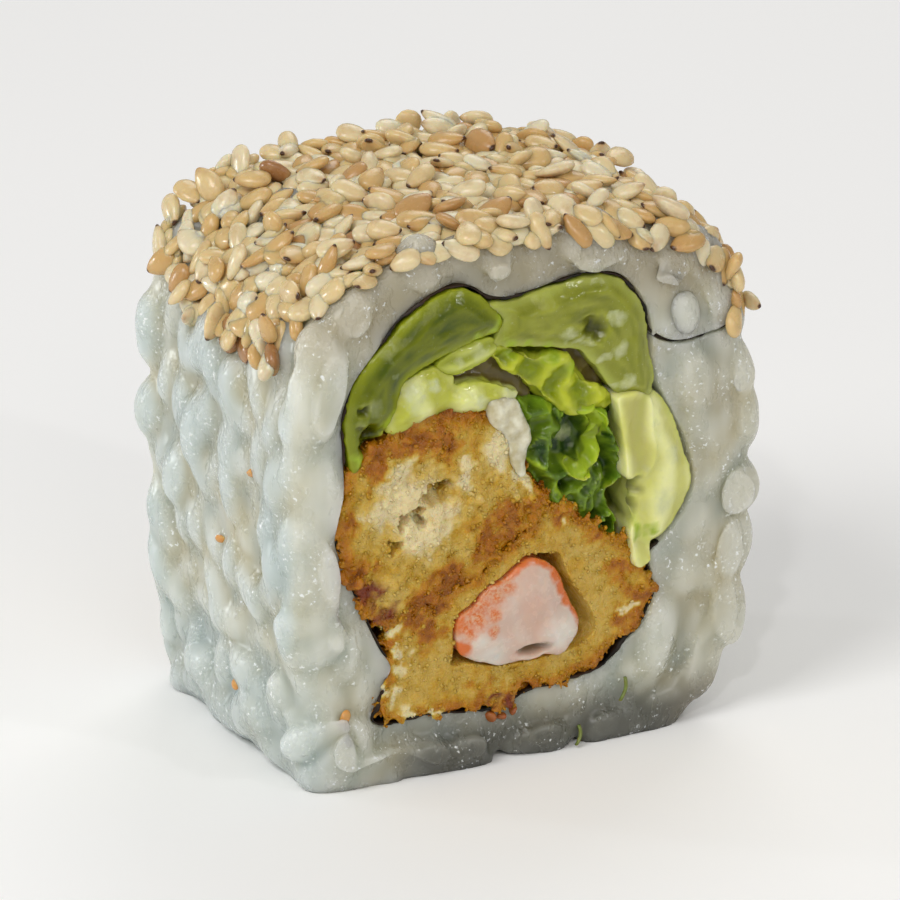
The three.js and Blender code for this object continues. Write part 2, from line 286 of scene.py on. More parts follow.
# Shader wires
class Wire:
    def __init__(self, tree, socket):
        self.tree = tree
        self.socket = socket

    def maths(self, operation, first, second, clamp=False):
        node = self.tree.nodes.new("ShaderNodeMath")
        node.operation = operation
        node.use_clamp = clamp
        for i, value in enumerate((first, second)):
            if isinstance(value, Wire):
                self.tree.links.new(value.socket, node.inputs[i])
            else:
                node.inputs[i].default_value = value
        return Wire(self.tree, node.outputs[0])

    def __add__(self, other):
        return self.maths("ADD", self, other)

    def __sub__(self, other):
        return self.maths("SUBTRACT", self, other)

    def __rsub__(self, other):
        return self.maths("SUBTRACT", other, self)

    def __mul__(self, other):
        return self.maths("MULTIPLY", self, other)

    def clamped(self):
        return self.maths("ADD", self, 0, clamp=True)


class Finish:
    def __init__(self, name, **constants):
        self.material = bpy.data.materials.new(name)
        self.material.use_nodes = True
        self.tree = self.material.node_tree
        self.shader = self.tree.nodes["Principled BSDF"]
        for key, value in constants.items():
            self.shader.inputs[key.replace("_", " ")].default_value = value
        self.place = self.node("ShaderNodeTexCoord", {}, {}, "Object")

    def node(self, kind, settings, values, output=0):
        made = self.tree.nodes.new(kind)
        for key, value in settings.items():
            if key == "stops":
                ramp = made.color_ramp
                while len(ramp.elements) > 1:
                    ramp.elements.remove(ramp.elements[-1])
                for i, (at, colour) in enumerate(value):
                    element = ramp.elements[0] if i == 0 else ramp.elements.new(at)
                    element.position = at
                    element.color = (*colour, 1)
            else:
                setattr(made, key, value)
        for key, value in values.items():
            if isinstance(value, Wire):
                self.tree.links.new(value.socket, made.inputs[key])
            else:
                made.inputs[key].default_value = value
        return Wire(self.tree, made.outputs[output])

    # Cloudy noise with lumps about `size` millimetres across
    def noise(self, size, detail=2.0, rough=0.5, stretch=(1, 1, 1)):
        place = self.node("ShaderNodeMapping", {}, {"Vector": self.place, "Scale": stretch})
        values = {"Vector": place, "Scale": 1 / (size * mm), "Detail": detail, "Roughness": rough}
        return self.node("ShaderNodeTexNoise", {}, values)

    def painted(self, name):
        return self.node("ShaderNodeAttribute", {"attribute_name": name}, {}, "Fac")

    def ramp(self, wire, *stops):
        return self.node("ShaderNodeValToRGB", {"stops": stops}, {"Fac": wire})

    def spread(self, wire, low, high):
        return self.node("ShaderNodeMapRange", {}, {"Value": wire, "From Min": low, "From Max": high})

    def mix(self, factor, first, second):
        made = self.tree.nodes.new("ShaderNodeMix")
        made.data_type = "RGBA"
        for socket, value in ((made.inputs[0], factor), (made.inputs[6], first), (made.inputs[7], second)):
            if isinstance(value, Wire):
                self.tree.links.new(value.socket, socket)
            else:
                socket.default_value = (*value, 1) if isinstance(value, tuple) else value
        return Wire(self.tree, made.outputs[2])

    def bump(self, height, depth, strength=1.0, under=None):
        values = {"Height": height, "Distance": depth * mm, "Strength": strength}
        if under:
            values["Normal"] = under
        return self.node("ShaderNodeBump", {}, values)

    def feed(self, **wires):
        for key, wire in wires.items():
            self.tree.links.new(wire.socket, self.shader.inputs[key.replace("_", " ")])
        return self.material


# A finish that light goes a little way into, `scale` metres deep
def softFinish(name, weight, radius, scale, bending, **constants):
    return Finish(
        name,
        Subsurface_Weight=weight,
        Subsurface_Radius=radius,
        Subsurface_Scale=scale,
        IOR=bending,
        **constants,
    )


# Outlines shared by several pieces, as (x, z)
section = {
    "riceEdge": [
        (-18.6, -1.5), (-20.2, 4), (-20.9, 14), (-21.2, 26), (-20.6, 35.5), (-18.5, 40.4), (-14.4, 43.4),
        (-8.5, 44.9), (1, 45.1), (10, 44.7), (15.6, 43.2), (19, 40.2), (20.8, 35.5), (21.6, 28),
        (21.6, 20), (20.5, 9), (17.4, 2.4), (13, -0.6), (6, -1.5), (-12, -1.5),
    ],
    "seaweedLoop": [
        (11.1, 34.9), (10.6, 37), (9.4, 38.9), (8, 40.1), (6.2, 40.5), (3.6, 40.5), (0.8, 40),
        (-1.6, 39.7), (-3.6, 40.1), (-5, 41), (-6.6, 41.4), (-8.6, 40.9), (-11, 39.5), (-13.4, 37.2),
        (-15.4, 34.8), (-16.5, 31.8), (-16.4, 29), (-16.5, 26.4), (-17.1, 24), (-17.2, 21.6),
        (-16.3, 19), (-15.3, 16.4), (-14.3, 14), (-13.4, 12), (-12.4, 10.2), (-12.9, 8.6), (-13.5, 7),
        (-14, 5.6), (-12.4, 5), (-9, 5.2), (-5.4, 4.8), (-2.6, 4.7), (0.8, 5.6), (4, 5.8), (7.4, 6.6),
        (8.8, 8), (10.4, 9.5), (11.6, 12.2), (11.2, 15.2), (12.2, 16.4),
    ],
    "openSide": [
        (13.2, 17.4), (14.5, 19), (15.3, 21.6), (14.6, 24.6), (13.2, 27.4), (11.9, 30), (11.3, 32.4),
    ],
    "seaweedTail": [(11.1, 34.9), (12.4, 33.9), (14, 33.6), (16, 33.7), (18.3, 34.1)],
}
riceEdge = smoothLine(section["riceEdge"], True, 0.3)
loopEdge = smoothLine(section["seaweedLoop"] + section["openSide"], True, 0.3)
seaweedLine = smoothLine(section["seaweedTail"][::-1] + section["seaweedLoop"][1:], False, 0.3)


def insideOf(outline, xz):
    inside = np.zeros(len(xz), bool)
    for a, b in zip(outline, np.roll(outline, -1, 0)):
        crosses = (a[1] > xz[:, 1]) != (b[1] > xz[:, 1])
        at = (b[0] - a[0]) * (xz[:, 1] - a[1]) / (b[1] - a[1] + 1e-12) + a[0]
        inside ^= crosses & (xz[:, 0] < at)
    return inside


# Rice
rice = {
    "grainLength": 6.8,
    "grainWidth": 3.3,
    "coreInset": 1.15,
    "faceInset": 0.8,
    "floorGap": 0.8,
    "rowPitch": 5.2,
    "columnPitch": 2.75,
    "facePitch": 2.8,
    "voxel": 0.31,
    "melt": 5,
    "keptRelief": 0.24,
    "swollen": 0.35,
    "rounding": 1.3,
    "footRounding": 2.8,
    "shoulderRounding": 4.0,
    "footGrains": [
        (-18.6, -12.6, 6.2, (0.2, 0.3, 1), (-1, -0.6, 0)), (-15.6, -13.6, 3.8, (0.1, 0, 1), (-0.2, -1, 0)),
        (-18.4, -11.4, 2.2, (0.2, 1, 0.1), (-1, -0.3, 0)), (-16.8, -12.9, 1.5, (0.3, 0, 1), (-0.7, -0.7, 0)),
        (-19.2, -7.6, 2.2, (0, 1, 0.3), (-1, 0, 0)), (-19.4, -3.2, 3.4, (0, 1, -0.2), (-1, 0, 0.1)),
        (-19.3, 1.4, 2.4, (0, 1, 0.5), (-1, 0, 0)), (-19.6, 5.8, 4.6, (0, 1, -0.1), (-1, 0, 0)),
        (-13.4, -13.4, 1.7, (1, 0, 0.2), (0, -1, 0)), (-9.6, -13.5, 1.9, (1, 0, -0.15), (0, -1, 0)),
        (12.6, -13.4, 2.1, (1, 0, 0.3), (0, -1, 0)), (16.4, -13.2, 4.4, (0.5, 0, 1), (0.3, -1, 0)),
    ],
}


def makeGrain():
    deselectAll()
    bpy.ops.mesh.primitive_uv_sphere_add(segments=12, ring_count=9, radius=mm)
    grain = bpy.context.object
    p = coordsOf(grain)[:, [2, 0, 1]]
    blunt = np.sign(p[:, 0]) * np.abs(p[:, 0]) ** 0.8
    p[:, 0] = blunt * rice["grainLength"] / 2
    p[:, 1] *= rice["grainWidth"] / 2
    p[:, 2] = p[:, 2] * rice["grainWidth"] / 2 * 0.9 + 0.3 * (p[:, 0] / rice["grainLength"]) ** 2
    setCoords(grain, p)
    return grain


def grainSize():
    return rng.uniform(0.78, 1.16) * np.array([rng.uniform(0.7, 1.15), 1, 1])


def riceSideGrains():
    line = smoothLine(section["riceEdge"], True, 0.2)
    out = sideways(line, True)
    rows = int(len(line) * 0.2 / rice["rowPitch"])
    columns = int(2 * cutFace / rice["columnPitch"])
    placings = []
    for column in range(columns):
        offset = rng.uniform(0, 1)
        for row in range(rows):
            i = int((row + offset + rng.uniform(-0.25, 0.25)) / rows * len(line)) % len(line)
            x, z = line[i]
            y = (column + 0.5 + rng.uniform(-0.4, 0.4)) / columns * 2 * cutFace - cutFace
            y = np.clip(y, -cutFace + 1, cutFace - 1)
            normal = np.array([out[i][0], 0, out[i][1]])
            tangent = np.array([-out[i][1], 0, out[i][0]])
            if rng.uniform() < 0.85:
                sway = rng.normal(0, 0.4 + 0.6 * float(z < 15))
            else:
                sway = rng.uniform(-1.5, 1.5)
            along = tangent * math.cos(sway) + np.array([0, 1, 0]) * math.sin(sway)
            along += normal * rng.normal(0, 0.12)
            sink = rng.uniform(1.8, 2.2) if z > 36 else rng.uniform(1.2, 1.9)
            at = np.array([x, y, z]) - normal * sink
            if z < 1:
                at[2] = rng.uniform(0.95, 1.5)
            placings.append((turnTo(along, normal), at, grainSize()))
    return placings


# The plump grains at the lower left corner of the shown face, and the same ones behind
def riceFootGrains():
    placings = []
    for x, y, z, along, out in rice["footGrains"]:
        for side in (1, -1):
            flip = np.array([1, side, 1])
            at = np.array([x, y, z]) * flip
            turn = turnTo(np.array(along) * flip, np.array(out) * flip)
            placings.append((turn, at, grainSize() * [0.75, 1.1, 0.9]))
    return placings


def riceFaceGrains():
    placings = []
    pitch = rice["facePitch"]
    inner = shifted(loopEdge, -1.4, True)
    outer = shifted(riceEdge, -1.5, True)
    columns, rows = np.meshgrid(np.arange(-21, 21, pitch), np.arange(0.4, 44, pitch * 1.5))
    for side in (-1, 1):
        places = np.column_stack([columns.ravel(), rows.ravel()]) + rng.uniform(-1.3, 1.3, (columns.size, 2))
        for x, z in places[insideOf(outer, places) & ~insideOf(inner, places)]:
            turn = math.atan2(z - 22, x) + math.pi / 2 + rng.normal(0, 0.5)
            along = np.array([math.cos(turn), rng.normal(0, 0.15), math.sin(turn)])
            at = np.array([x, side * (cutFace - rng.uniform(1.3, 2.0) - 0.5 * (z > 36)), z])
            placings.append((turnTo(along, np.array([0, side, 0])), at, grainSize()))
    return placings


# The cut squeezes the rice, so the rims are round, most at the lower left and the upper right.
# This gives how far a rim at (x, y, z) is drawn inwards, with the way it goes.
def rimDraw(p):
    foot = step(-6, -14, p[:, 0]) * step(26, 8, p[:, 2])
    shoulder = step(2, 12, p[:, 0]) * step(30, 37, p[:, 2])
    radius = rice["rounding"] + (rice["footRounding"] - rice["rounding"]) * foot
    radius += (rice["shoulderRounding"] - rice["rounding"]) * shoulder
    radius *= 1 - 0.4 * step(6, 0, p[:, 2]) * step(-14, -4, p[:, 0])
    depth = np.clip(cutFace - np.abs(p[:, 1]), 0, radius)
    inward = radius - np.sqrt(np.maximum(radius**2 - (radius - depth) ** 2, 0))
    toMiddle = np.array([0, 22]) - p[:, [0, 2]]
    toMiddle /= np.linalg.norm(toMiddle, axis=1)[:, None] + 1e-6
    return inward, toMiddle


def roundRims(p):
    near = 1 - step(0.5, 6, distanceTo(riceEdge[::2], p[:, [0, 2]], True))
    inward, toMiddle = rimDraw(p)
    p[:, [0, 2]] += toMiddle * (near * inward)[:, None]


# Where the knife and the hands smeared the grains together
def smeared(p):
    face = step(cutFace - 3, cutFace - 1.5, np.abs(p[:, 1]))
    bands = step(38, 41, p[:, 2]) + step(-12.5, -15, p[:, 0]) * step(12, 18, p[:, 2])
    patches = step(-0.1, 0.3, lumps(p * [1, 1, 0.6], 7, 2, 5.0)) * step(6, 12, p[:, 2])
    return np.clip(bands * face + patches * 0.5, 0, 1)


# The same surface, smoothed
def meltedCoords(obj, iterations):
    melted = obj.copy()
    melted.data = obj.data.copy()
    bpy.context.collection.objects.link(melted)
    smooth(melted, iterations)
    coords = coordsOf(melted)
    bpy.data.objects.remove(melted)
    return coords


# Presses the grains into the mass. `keep` of their relief stays, most at the foot and least where the knife
# smeared them.
def pressGrains(core):
    p = coordsOf(core)
    normals = normalsOf(core)
    melted = meltedCoords(core, 50)
    distinct = np.maximum(step(12, 4, p[:, 2]), 0.6 * step(14, 19, p[:, 0]))
    keep = rice["keptRelief"] + 0.55 * distinct - 0.2 * smeared(p)
    swollen = rice["swollen"] * step(42, 37, p[:, 2]) * (1 - 0.6 * distinct)
    setCoords(core, melted + (p - melted) * keep[:, None] + normals * swollen[:, None])
    remesh(core, rice["voxel"], 3)
    # The relief left after pressing is painted as "ridge"; the finish paints crests lighter and hollows
    # darker from it, painted light and shade
    relief = np.sum((coordsOf(core) - meltedCoords(core, 40)) * normalsOf(core), axis=1)
    paint(core, "ridge", 0.5 + np.clip(relief / 0.5, -0.4, 0.5))


def makeRice():
    inset = rice["faceInset"]
    core = prism("rice_mass", shifted(riceEdge, -rice["coreInset"], True), -cutFace + inset, cutFace - inset)
    p = coordsOf(core)
    p[:, 2] = np.maximum(p[:, 2], rice["floorGap"])
    setCoords(core, p)
    grain = makeGrain()
    grains = scattered("rice_grains", grain, riceSideGrains() + riceFaceGrains() + riceFootGrains())
    bpy.data.objects.remove(grain)
    joinInto(core, [grains])
    remesh(core, rice["voxel"], rice["melt"])
    pressGrains(core)
    p = coordsOf(core)
    roundRims(p)
    swell = 0.42 * lumps(p * [1, 1, 0.8], 6, 2, 2.0) + 0.05 * lumps(p * [1, 1, 0.5], 1.3, 2, 8.0)
    setCoords(core, p + normalsOf(core) * swell[:, None])
    cutAway(core, prism("hole", shifted(loopEdge, -0.12, True), -cutFace - 4, cutFace + 4))
    slit = seaweedLine[: int(7.6 / 0.3)]
    slitOutline = np.vstack([shifted(slit, 0.22, False), shifted(slit, -0.16, False)[::-1]])
    cutAway(core, prism("slit", slitOutline, -cutFace - 4, cutFace + 4))
    p = coordsOf(core)
    p[:, 0] = np.clip(p[:, 0], -22, 22)
    p[:, 1] = np.clip(p[:, 1], -cutFace - 0.4, cutFace + 0.4)
    p[:, 2] = np.maximum(p[:, 2], 0)
    setCoords(core, p)
    # Painted shade: the rice near the floor is painted darker, most at the left, where the underside lies in
    # shade
    paint(core, "foot", step(6, 1.6, p[:, 2]) * (0.12 + 0.88 * step(-15, -9, p[:, 0])))
    # Painted light: a bluish tint on the far left rim and at the lower left, where cool light from the left
    # shines through the grains
    lowLeft = 0.9 * step(-17, -19.5, p[:, 0]) * step(15, 4, p[:, 2])
    paint(core, "paintedCoolLight", np.maximum(step(-20.4, -21.6, p[:, 0]), lowLeft))
    # Painted shade: the cut face's top band under the overhanging seeds, and a little of its right side, are
    # painted a darker warm brown
    onCut = step(cutFace - 4, cutFace - 1.5, np.abs(p[:, 1]))
    paint(core, "paintedWarmShade", np.maximum(step(34.5, 40, p[:, 2]), 0.35 * step(11, 15, p[:, 0])) * onCut)
    return core


def riceFinish():
    f = softFinish("moist_rice", 1.0, (1.0, 0.97, 0.85), 0.005, 1.5)
    broad = f.noise(5, 2)
    colour = f.mix(f.spread(broad, 0.35, 0.65), (0.41, 0.445, 0.385), (0.50, 0.47, 0.33))
    grainy = f.noise(2.4, 2, 0.5, (1, 1, 0.35))
    ridge = f.painted("ridge")
    # Painted light and shade: crests lighter and hollows between grains darker, with random grain tone
    colour = f.mix(f.spread(ridge + (grainy - 0.5), 0.3, 0.9), colour, (0.65, 0.66, 0.59))
    # Painted cool light on the left
    colour = f.mix(f.painted("paintedCoolLight") * 0.5, colour, (0.44, 0.55, 0.59))
    # Painted shade at the foot
    colour = f.mix(f.painted("foot") * 0.9, colour, (0.06, 0.06, 0.047))
    # Painted shade under the seeds
    colour = f.mix(f.painted("paintedWarmShade") * 0.55, colour, (0.34, 0.27, 0.16))
    wet = f.noise(1.5, 3, 0.6, (1, 1, 0.5))
    patches = f.spread(f.noise(2.0, 3, 0.6, (1, 1, 0.6)), 0.46, 0.58)
    glints = f.noise(0.5, 2, 0.6)
    # White specks in the glossy patches: whiter starch in the grains, and painted glints
    specks = f.spread(f.noise(0.4, 2, 0.6), 0.61, 0.68)
    colour = f.mix(specks * (patches * 0.8 + 0.03), colour, (0.90, 0.93, 0.93))
    bump = f.bump(grainy, 0.3, 0.5)
    bump = f.bump(wet, 0.1, 0.5, bump)
    bump = f.bump(glints * (patches * 0.97 + 0.03), 0.3, 0.9, bump)
    return f.feed(Base_Color=colour, Roughness=0.32 - patches * 0.2, Normal=bump)


print("rice")
riceMass = makeRice()
finishPiece(riceMass, "rice", riceFinish())
print("rice triangles", sum(len(p.vertices) - 2 for p in riceMass.data.polygons))

# Sesame
sesame = {
    "length": 3.2,
    "width": 1.95,
    "thick": 1.25,
    "lowEdgeLeft": 35.3,
    "lowEdgeRight": 35.2,
    "spacing": 1.5,
    "second": 170,
}


def makeSeed(name, width, thick):
    deselectAll()
    bpy.ops.mesh.primitive_uv_sphere_add(segments=12, ring_count=9, radius=mm)
    seed = bpy.context.object
    seed.name = name
    p = coordsOf(seed)[:, [2, 0, 1]]
    tip = np.maximum(p[:, 0], 0)
    egg = (1.1 - 0.26 * p[:, 0]) * (1 - 0.25 * tip**2)
    p[:, 1] *= width / 2 * egg
    p[:, 2] *= thick / 2 * egg * (1 - 0.25 * (p[:, 2] < 0))
    p[:, 2] += 0.12 * p[:, 0] ** 2
    p[:, 0] = np.sign(p[:, 0]) * np.abs(p[:, 0]) ** 0.92 * sesame["length"] / 2
    setCoords(seed, p)
    return seed


def lowEdge(x, y):
    ragged = 0.8 * math.sin(y * 0.8) + 0.5 * math.sin(y * 2.3 + 1)
    if x >= 0:
        return sesame["lowEdgeRight"] + ragged
    low = sesame["lowEdgeLeft"] + ragged
    return low + 1.6 * step(6, 12, y) + 3 * step(11, 12.5, y) + 1.5 * step(-8, -13, y)


# Places (x, y, z) on the finished rice with the way out of it there, `spacing` apart
def seedPlaces():
    line = smoothLine(section["riceEdge"], True, 0.15)
    out = sideways(line, True)
    chosen = [i for i in range(len(line)) if line[i][1] > 32]
    taken = np.empty((0, 2))
    for attempt in range(30000):
        i = chosen[0] + int(rng.integers(0, len(chosen)))
        y = rng.uniform(-cutFace + 0.3, cutFace - 0.3)
        x, z = line[i]
        if z < lowEdge(x, y) or (x < -9 and y < -14.2 + 0.55 * (44.5 - z)):
            continue
        if np.all(np.hypot((taken[:, 0] - i) * 0.15, taken[:, 1] - y) > sesame["spacing"]):
            taken = np.vstack([taken, (i, y)])
    steps = taken[:, 0].astype(int)
    places = np.column_stack([line[steps, 0], taken[:, 1], line[steps, 1]])
    outward = np.column_stack([out[steps, 0], np.zeros(len(steps)), out[steps, 1]])
    inward, toMiddle = rimDraw(places)
    closer = places + [0, 0.05, 0]
    outward[:, 1] = (rimDraw(closer)[0] - inward) / 0.05
    outward /= np.linalg.norm(outward, axis=1)[:, None]
    places[:, [0, 2]] += toMiddle * inward[:, None]
    return places, outward


def makeSesame():
    places, outward = seedPlaces()
    print("seeds", len(places))
    width = sesame["width"]
    thick = sesame["thick"]
    kinds = [
        makeSeed("plump", width, thick),
        makeSeed("narrow", width * 0.78, thick),
        makeSeed("broad", width * 1.08, thick * 0.85),
    ]
    groups = [[], [], []]
    second = rng.choice(len(places), sesame["second"], replace=False)
    for layer, chosen in enumerate((range(len(places)), second)):
        for i in chosen:
            normal = outward[i]
            tangent = np.cross(normal, [0, 1, 0])
            turn = rng.uniform(0, 2 * math.pi)
            tilt = rng.normal(0, 0.2 + 0.15 * layer)
            along = tangent * math.cos(turn) + np.cross(normal, tangent) * math.sin(turn) + normal * tilt
            facing = normal + rng.normal(0, 0.3 + 0.15 * layer, 3)
            lift = rng.uniform(-0.7, -0.2) + layer * 0.75
            at = places[i] + normal * lift + rng.normal(0, 0.6 * layer, 3) * (1 - np.abs(normal))
            reach = cutFace + 0.4 - sesame["length"] / 2 * abs(along[1]) / np.linalg.norm(along)
            at[1] = np.clip(at[1], -reach, reach)
            size = rng.uniform(0.84, 1.1) * np.ones(3)
            groups[rng.choice(3, p=[0.6, 0.18, 0.22])].append((turnTo(along, facing), at, size))
    made = []
    for shape, placings in zip(kinds, groups):
        obj = scattered("sesame_" + shape.name, shape, placings)
        perSeed = len(shape.data.vertices)
        paint(obj, "tint", np.repeat(rng.uniform(0, 1, len(placings)), perSeed))
        paint(obj, "tip", np.tile(coordsOf(shape)[:, 0] / sesame["length"] + 0.5, len(placings)))
        paint(obj, "darkTip", np.repeat(rng.uniform(0, 1, len(placings)), perSeed))
        made.append(obj)
        bpy.data.objects.remove(shape)
    joinInto(made[0], made[1:])
    made[0].name = "sesame"
    return made[0]


def sesameFinish():
    f = softFinish("toasted_sesame", 0.5, (1.0, 0.65, 0.3), 0.0007, 1.5)
    tint = f.painted("tint")
    tip = f.painted("tip")
    colour = f.ramp(tint, (0.0, (0.74, 0.67, 0.48)), (0.35, (0.72, 0.59, 0.34)), (0.65, (0.66, 0.48, 0.22)),
                    (0.88, (0.58, 0.37, 0.14)), (0.97, (0.50, 0.29, 0.11)), (0.995, (0.33, 0.16, 0.06)))
    patch = f.noise(1.3, 2)
    colour = f.mix(f.spread(patch, 0.5, 0.8) * 0.55, colour, (0.46, 0.28, 0.11))
    colour = f.mix(f.spread(tip + (patch - 0.5) * 0.3, 0.75, 1.0) * 0.5, colour, (0.40, 0.20, 0.07))
    dark = f.spread(tip + f.noise(0.5) * 0.1, 0.965, 1.01) * f.spread(f.painted("darkTip"), 0.2, 0.3)
    colour = f.mix(dark.clamped(), colour, (0.06, 0.022, 0.008))
    bump = f.bump(f.noise(0.9, 2), 0.1, 0.6)
    return f.feed(Base_Color=colour, Roughness=f.noise(0.7) * 0.3 + 0.1, Normal=bump)


print("sesame")
seeds = makeSesame()
finishPiece(seeds, "rice", sesameFinish())

# Seaweed
seaweed = {
    "thick": 0.13,
    "depthPitch": 0.6,
    "recess": 0.6,
    "thicker": [
        (-3.4, 40.2, 1.1), (-1.6, 39.8, 1.0), (9.2, 39, 0.8), (8.6, 8, 1.2), (-2.4, 4.8, 1.4),
        (-13.4, 6.6, 0.8),
    ],
}


def makeSeaweed():
    line = seaweedLine
    rows = int(2 * cutFace / seaweed["depthPitch"])
    deselectAll()
    bpy.ops.mesh.primitive_grid_add(x_subdivisions=len(line) - 1, y_subdivisions=rows)
    sheet = bpy.context.object
    sheet.name = "seaweed"
    grid = coordsOf(sheet) * mm
    i = np.round((grid[:, 0] + 1) / 2 * (len(line) - 1)).astype(int)
    y = grid[:, 1] * (cutFace - seaweed["recess"])
    flat = line[i]
    out = sideways(line, False)[i]
    place = np.column_stack([flat[:, 0], y, flat[:, 1]])
    wrinkle = 0.18 * lumps(place, 2.6)
    edge = np.abs(grid[:, 1]) > 0.999
    place[:, 0] += out[:, 0] * wrinkle
    place[:, 2] += out[:, 1] * wrinkle
    place[:, 1] += np.where(edge, np.sign(grid[:, 1]) * 0.35 * lumps(place, 0.9), 0)
    setCoords(sheet, place)
    modify(sheet, "SOLIDIFY", thickness=seaweed["thick"] * mm, offset=0)
    xz = coordsOf(sheet)[:, [0, 2]]
    thicker = spots(xz, seaweed["thicker"])
    push(sheet, 0.13 * thicker + 0.05 * lumps(coordsOf(sheet), 1.8, 2, 3.0))
    return sheet


def seaweedFinish():
    f = Finish("damp_seaweed", IOR=1.35)
    colour = f.mix(f.spread(f.noise(1.5, 3), 0.4, 0.7), (0.006, 0.005, 0.003), (0.04, 0.018, 0.007))
    bump = f.bump(f.noise(0.5, 3), 0.12, 0.8)
    return f.feed(Base_Color=colour, Roughness=f.noise(0.8) * 0.4 + 0.3, Normal=bump)


print("seaweed")
finishPiece(makeSeaweed(), "nori", seaweedFinish())


# Fillings: outlines run through the slice
# A solid from an outline, remeshed finely enough to be shaped, its ends `recess` inside the cut faces
def filling(name, outline, recess, voxel, melt=2):
    line = outlineOf(outline)
    obj = prism(name, line, -cutFace + recess, cutFace - recess)
    remesh(obj, voxel, melt)
    return obj, line


# How much a vertex belongs to the front or back face, from 0 to 1
def onFace(p, recess, blend=0.5):
    return step(cutFace - recess - blend, cutFace - recess - 0.1, np.abs(p[:, 1]))


# Breading
breading = {
    "upper": [
        (-13.4, 29.4), (-11.7, 30.8), (-10.1, 31.1), (-8.4, 31.2), (-5.9, 30.9), (-3.4, 30.4),
        (-1.9, 29), (-0.7, 27.4), (0, 25.2), (0.8, 23.8), (2.1, 22.4), (1.3, 21), (-0.1, 19.2),
        (-3.3, 17.4), (-4.6, 16), (-7.6, 15.2), (-9, 14.7), (-11.4, 13.6), (-13.8, 13.8), (-15.4, 16.8),
        (-16.9, 20.2), (-17.2, 22), (-17, 24), (-16.5, 25.4), (-16.3, 27.5), (-14.8, 28.3),
    ],
    "lower": [
        (1.2, 21.4), (4.1, 21), (5.3, 19.8), (7.9, 17.6), (9.4, 16.4), (10, 15.2), (10.8, 14.7),
        (11.5, 13.2), (11.7, 11.7), (10.9, 10.6), (10.4, 9.4), (8.9, 8.5), (6.3, 6.9), (4.6, 6),
        (3.3, 5.6), (1.3, 5.7), (-0.4, 5.9), (-1, 4.8), (-3.1, 4.7), (-5.7, 5), (-8.2, 5), (-10.5, 5.2),
        (-12.9, 5.4), (-13.6, 7), (-13, 8.8), (-12.6, 10.6), (-12.8, 13), (-11.8, 14.6), (-8.9, 15),
        (-7.6, 15.6), (-4.6, 16.5), (-3.3, 17.9), (-0.1, 19.7),
    ],
    "cavity": [
        (-6.9, 12.6), (-6.4, 13.7), (-5.2, 14.2), (-4, 15.4), (-2.2, 16.2), (-1, 17.1), (0.2, 17.6),
        (1.8, 17.3), (3, 17), (3.9, 14.8), (5.4, 12.5), (6.3, 10.6), (6.1, 9.7), (5.2, 9), (3.9, 8.5),
        (1, 8.2), (-2.8, 8.3), (-5, 8.9), (-6.9, 9.1), (-6.7, 10.6),
    ],
    "upperPatches": [
        (-13.2, 28.4, 2), (-10.2, 29.2, 2.2), (-7.9, 28.8, 1.8), (1, 22.3, 1.6), (-1.5, 20.8, 1.8),
        (-4, 19, 1.9), (-7.2, 16.3, 1.8), (-9.4, 15, 1.8), (-16, 23.5, 1.2), (-15.3, 18.6, 1.2),
    ],
    "upperPale": [
        (-11.2, 25.3, 2.2), (-10.9, 23.6, 2.2), (-13, 23.6, 1.6), (-7.6, 22.6, 1.5), (-9.7, 21.2, 2.2),
        (-2.5, 26.7, 1.6), (-0.8, 24.4, 1.0), (-6, 25.5, 1.2),
    ],
    "upperDark": [(-14, 17, 0.8), (-12.9, 15, 0.9)],
    "upperPits": [
        (-8.3, 24.2, 1.1), (-7.4, 24.7, 0.7), (-11.4, 22.4, 0.5), (-12.2, 20.5, 0.5), (-10, 22.5, 0.4),
    ],
    "lowerPatches": [
        (8.5, 14.5, 1.6), (10.3, 12, 1.7), (9.5, 9.8, 1.4), (-4, 6, 1.4), (-1.5, 5.5, 1.2), (-9, 12, 1.2),
        (-10.5, 14, 1.2), (-8.5, 14.4, 1.2), (3, 20.4, 1), (6, 18.2, 1),
    ],
    "lowerPale": [
        (-12.4, 13.4, 0.8), (-11.8, 11.4, 0.7), (-11.4, 9.8, 0.7), (-12.4, 7.4, 0.8), (-10.4, 5.8, 1.0),
        (-8.2, 5.4, 0.6), (4, 20.3, 0.5), (9.2, 11, 0.5),
    ],
    "lowerDark": [(-1.4, 4.9, 0.9), (-3, 5, 0.6)],
    "crumbSize": 0.5,
    "beadSize": 0.15,
    "beads": 1700,
    "voxel": 0.18,
}


def makeCrumb():
    deselectAll()
    bpy.ops.mesh.primitive_ico_sphere_add(subdivisions=1, radius=mm)
    crumb = bpy.context.object
    p = coordsOf(crumb)
    p *= (1 + 0.8 * lumps(p, 0.7, 1, 3.0))[:, None]
    setCoords(crumb, p)
    return crumb


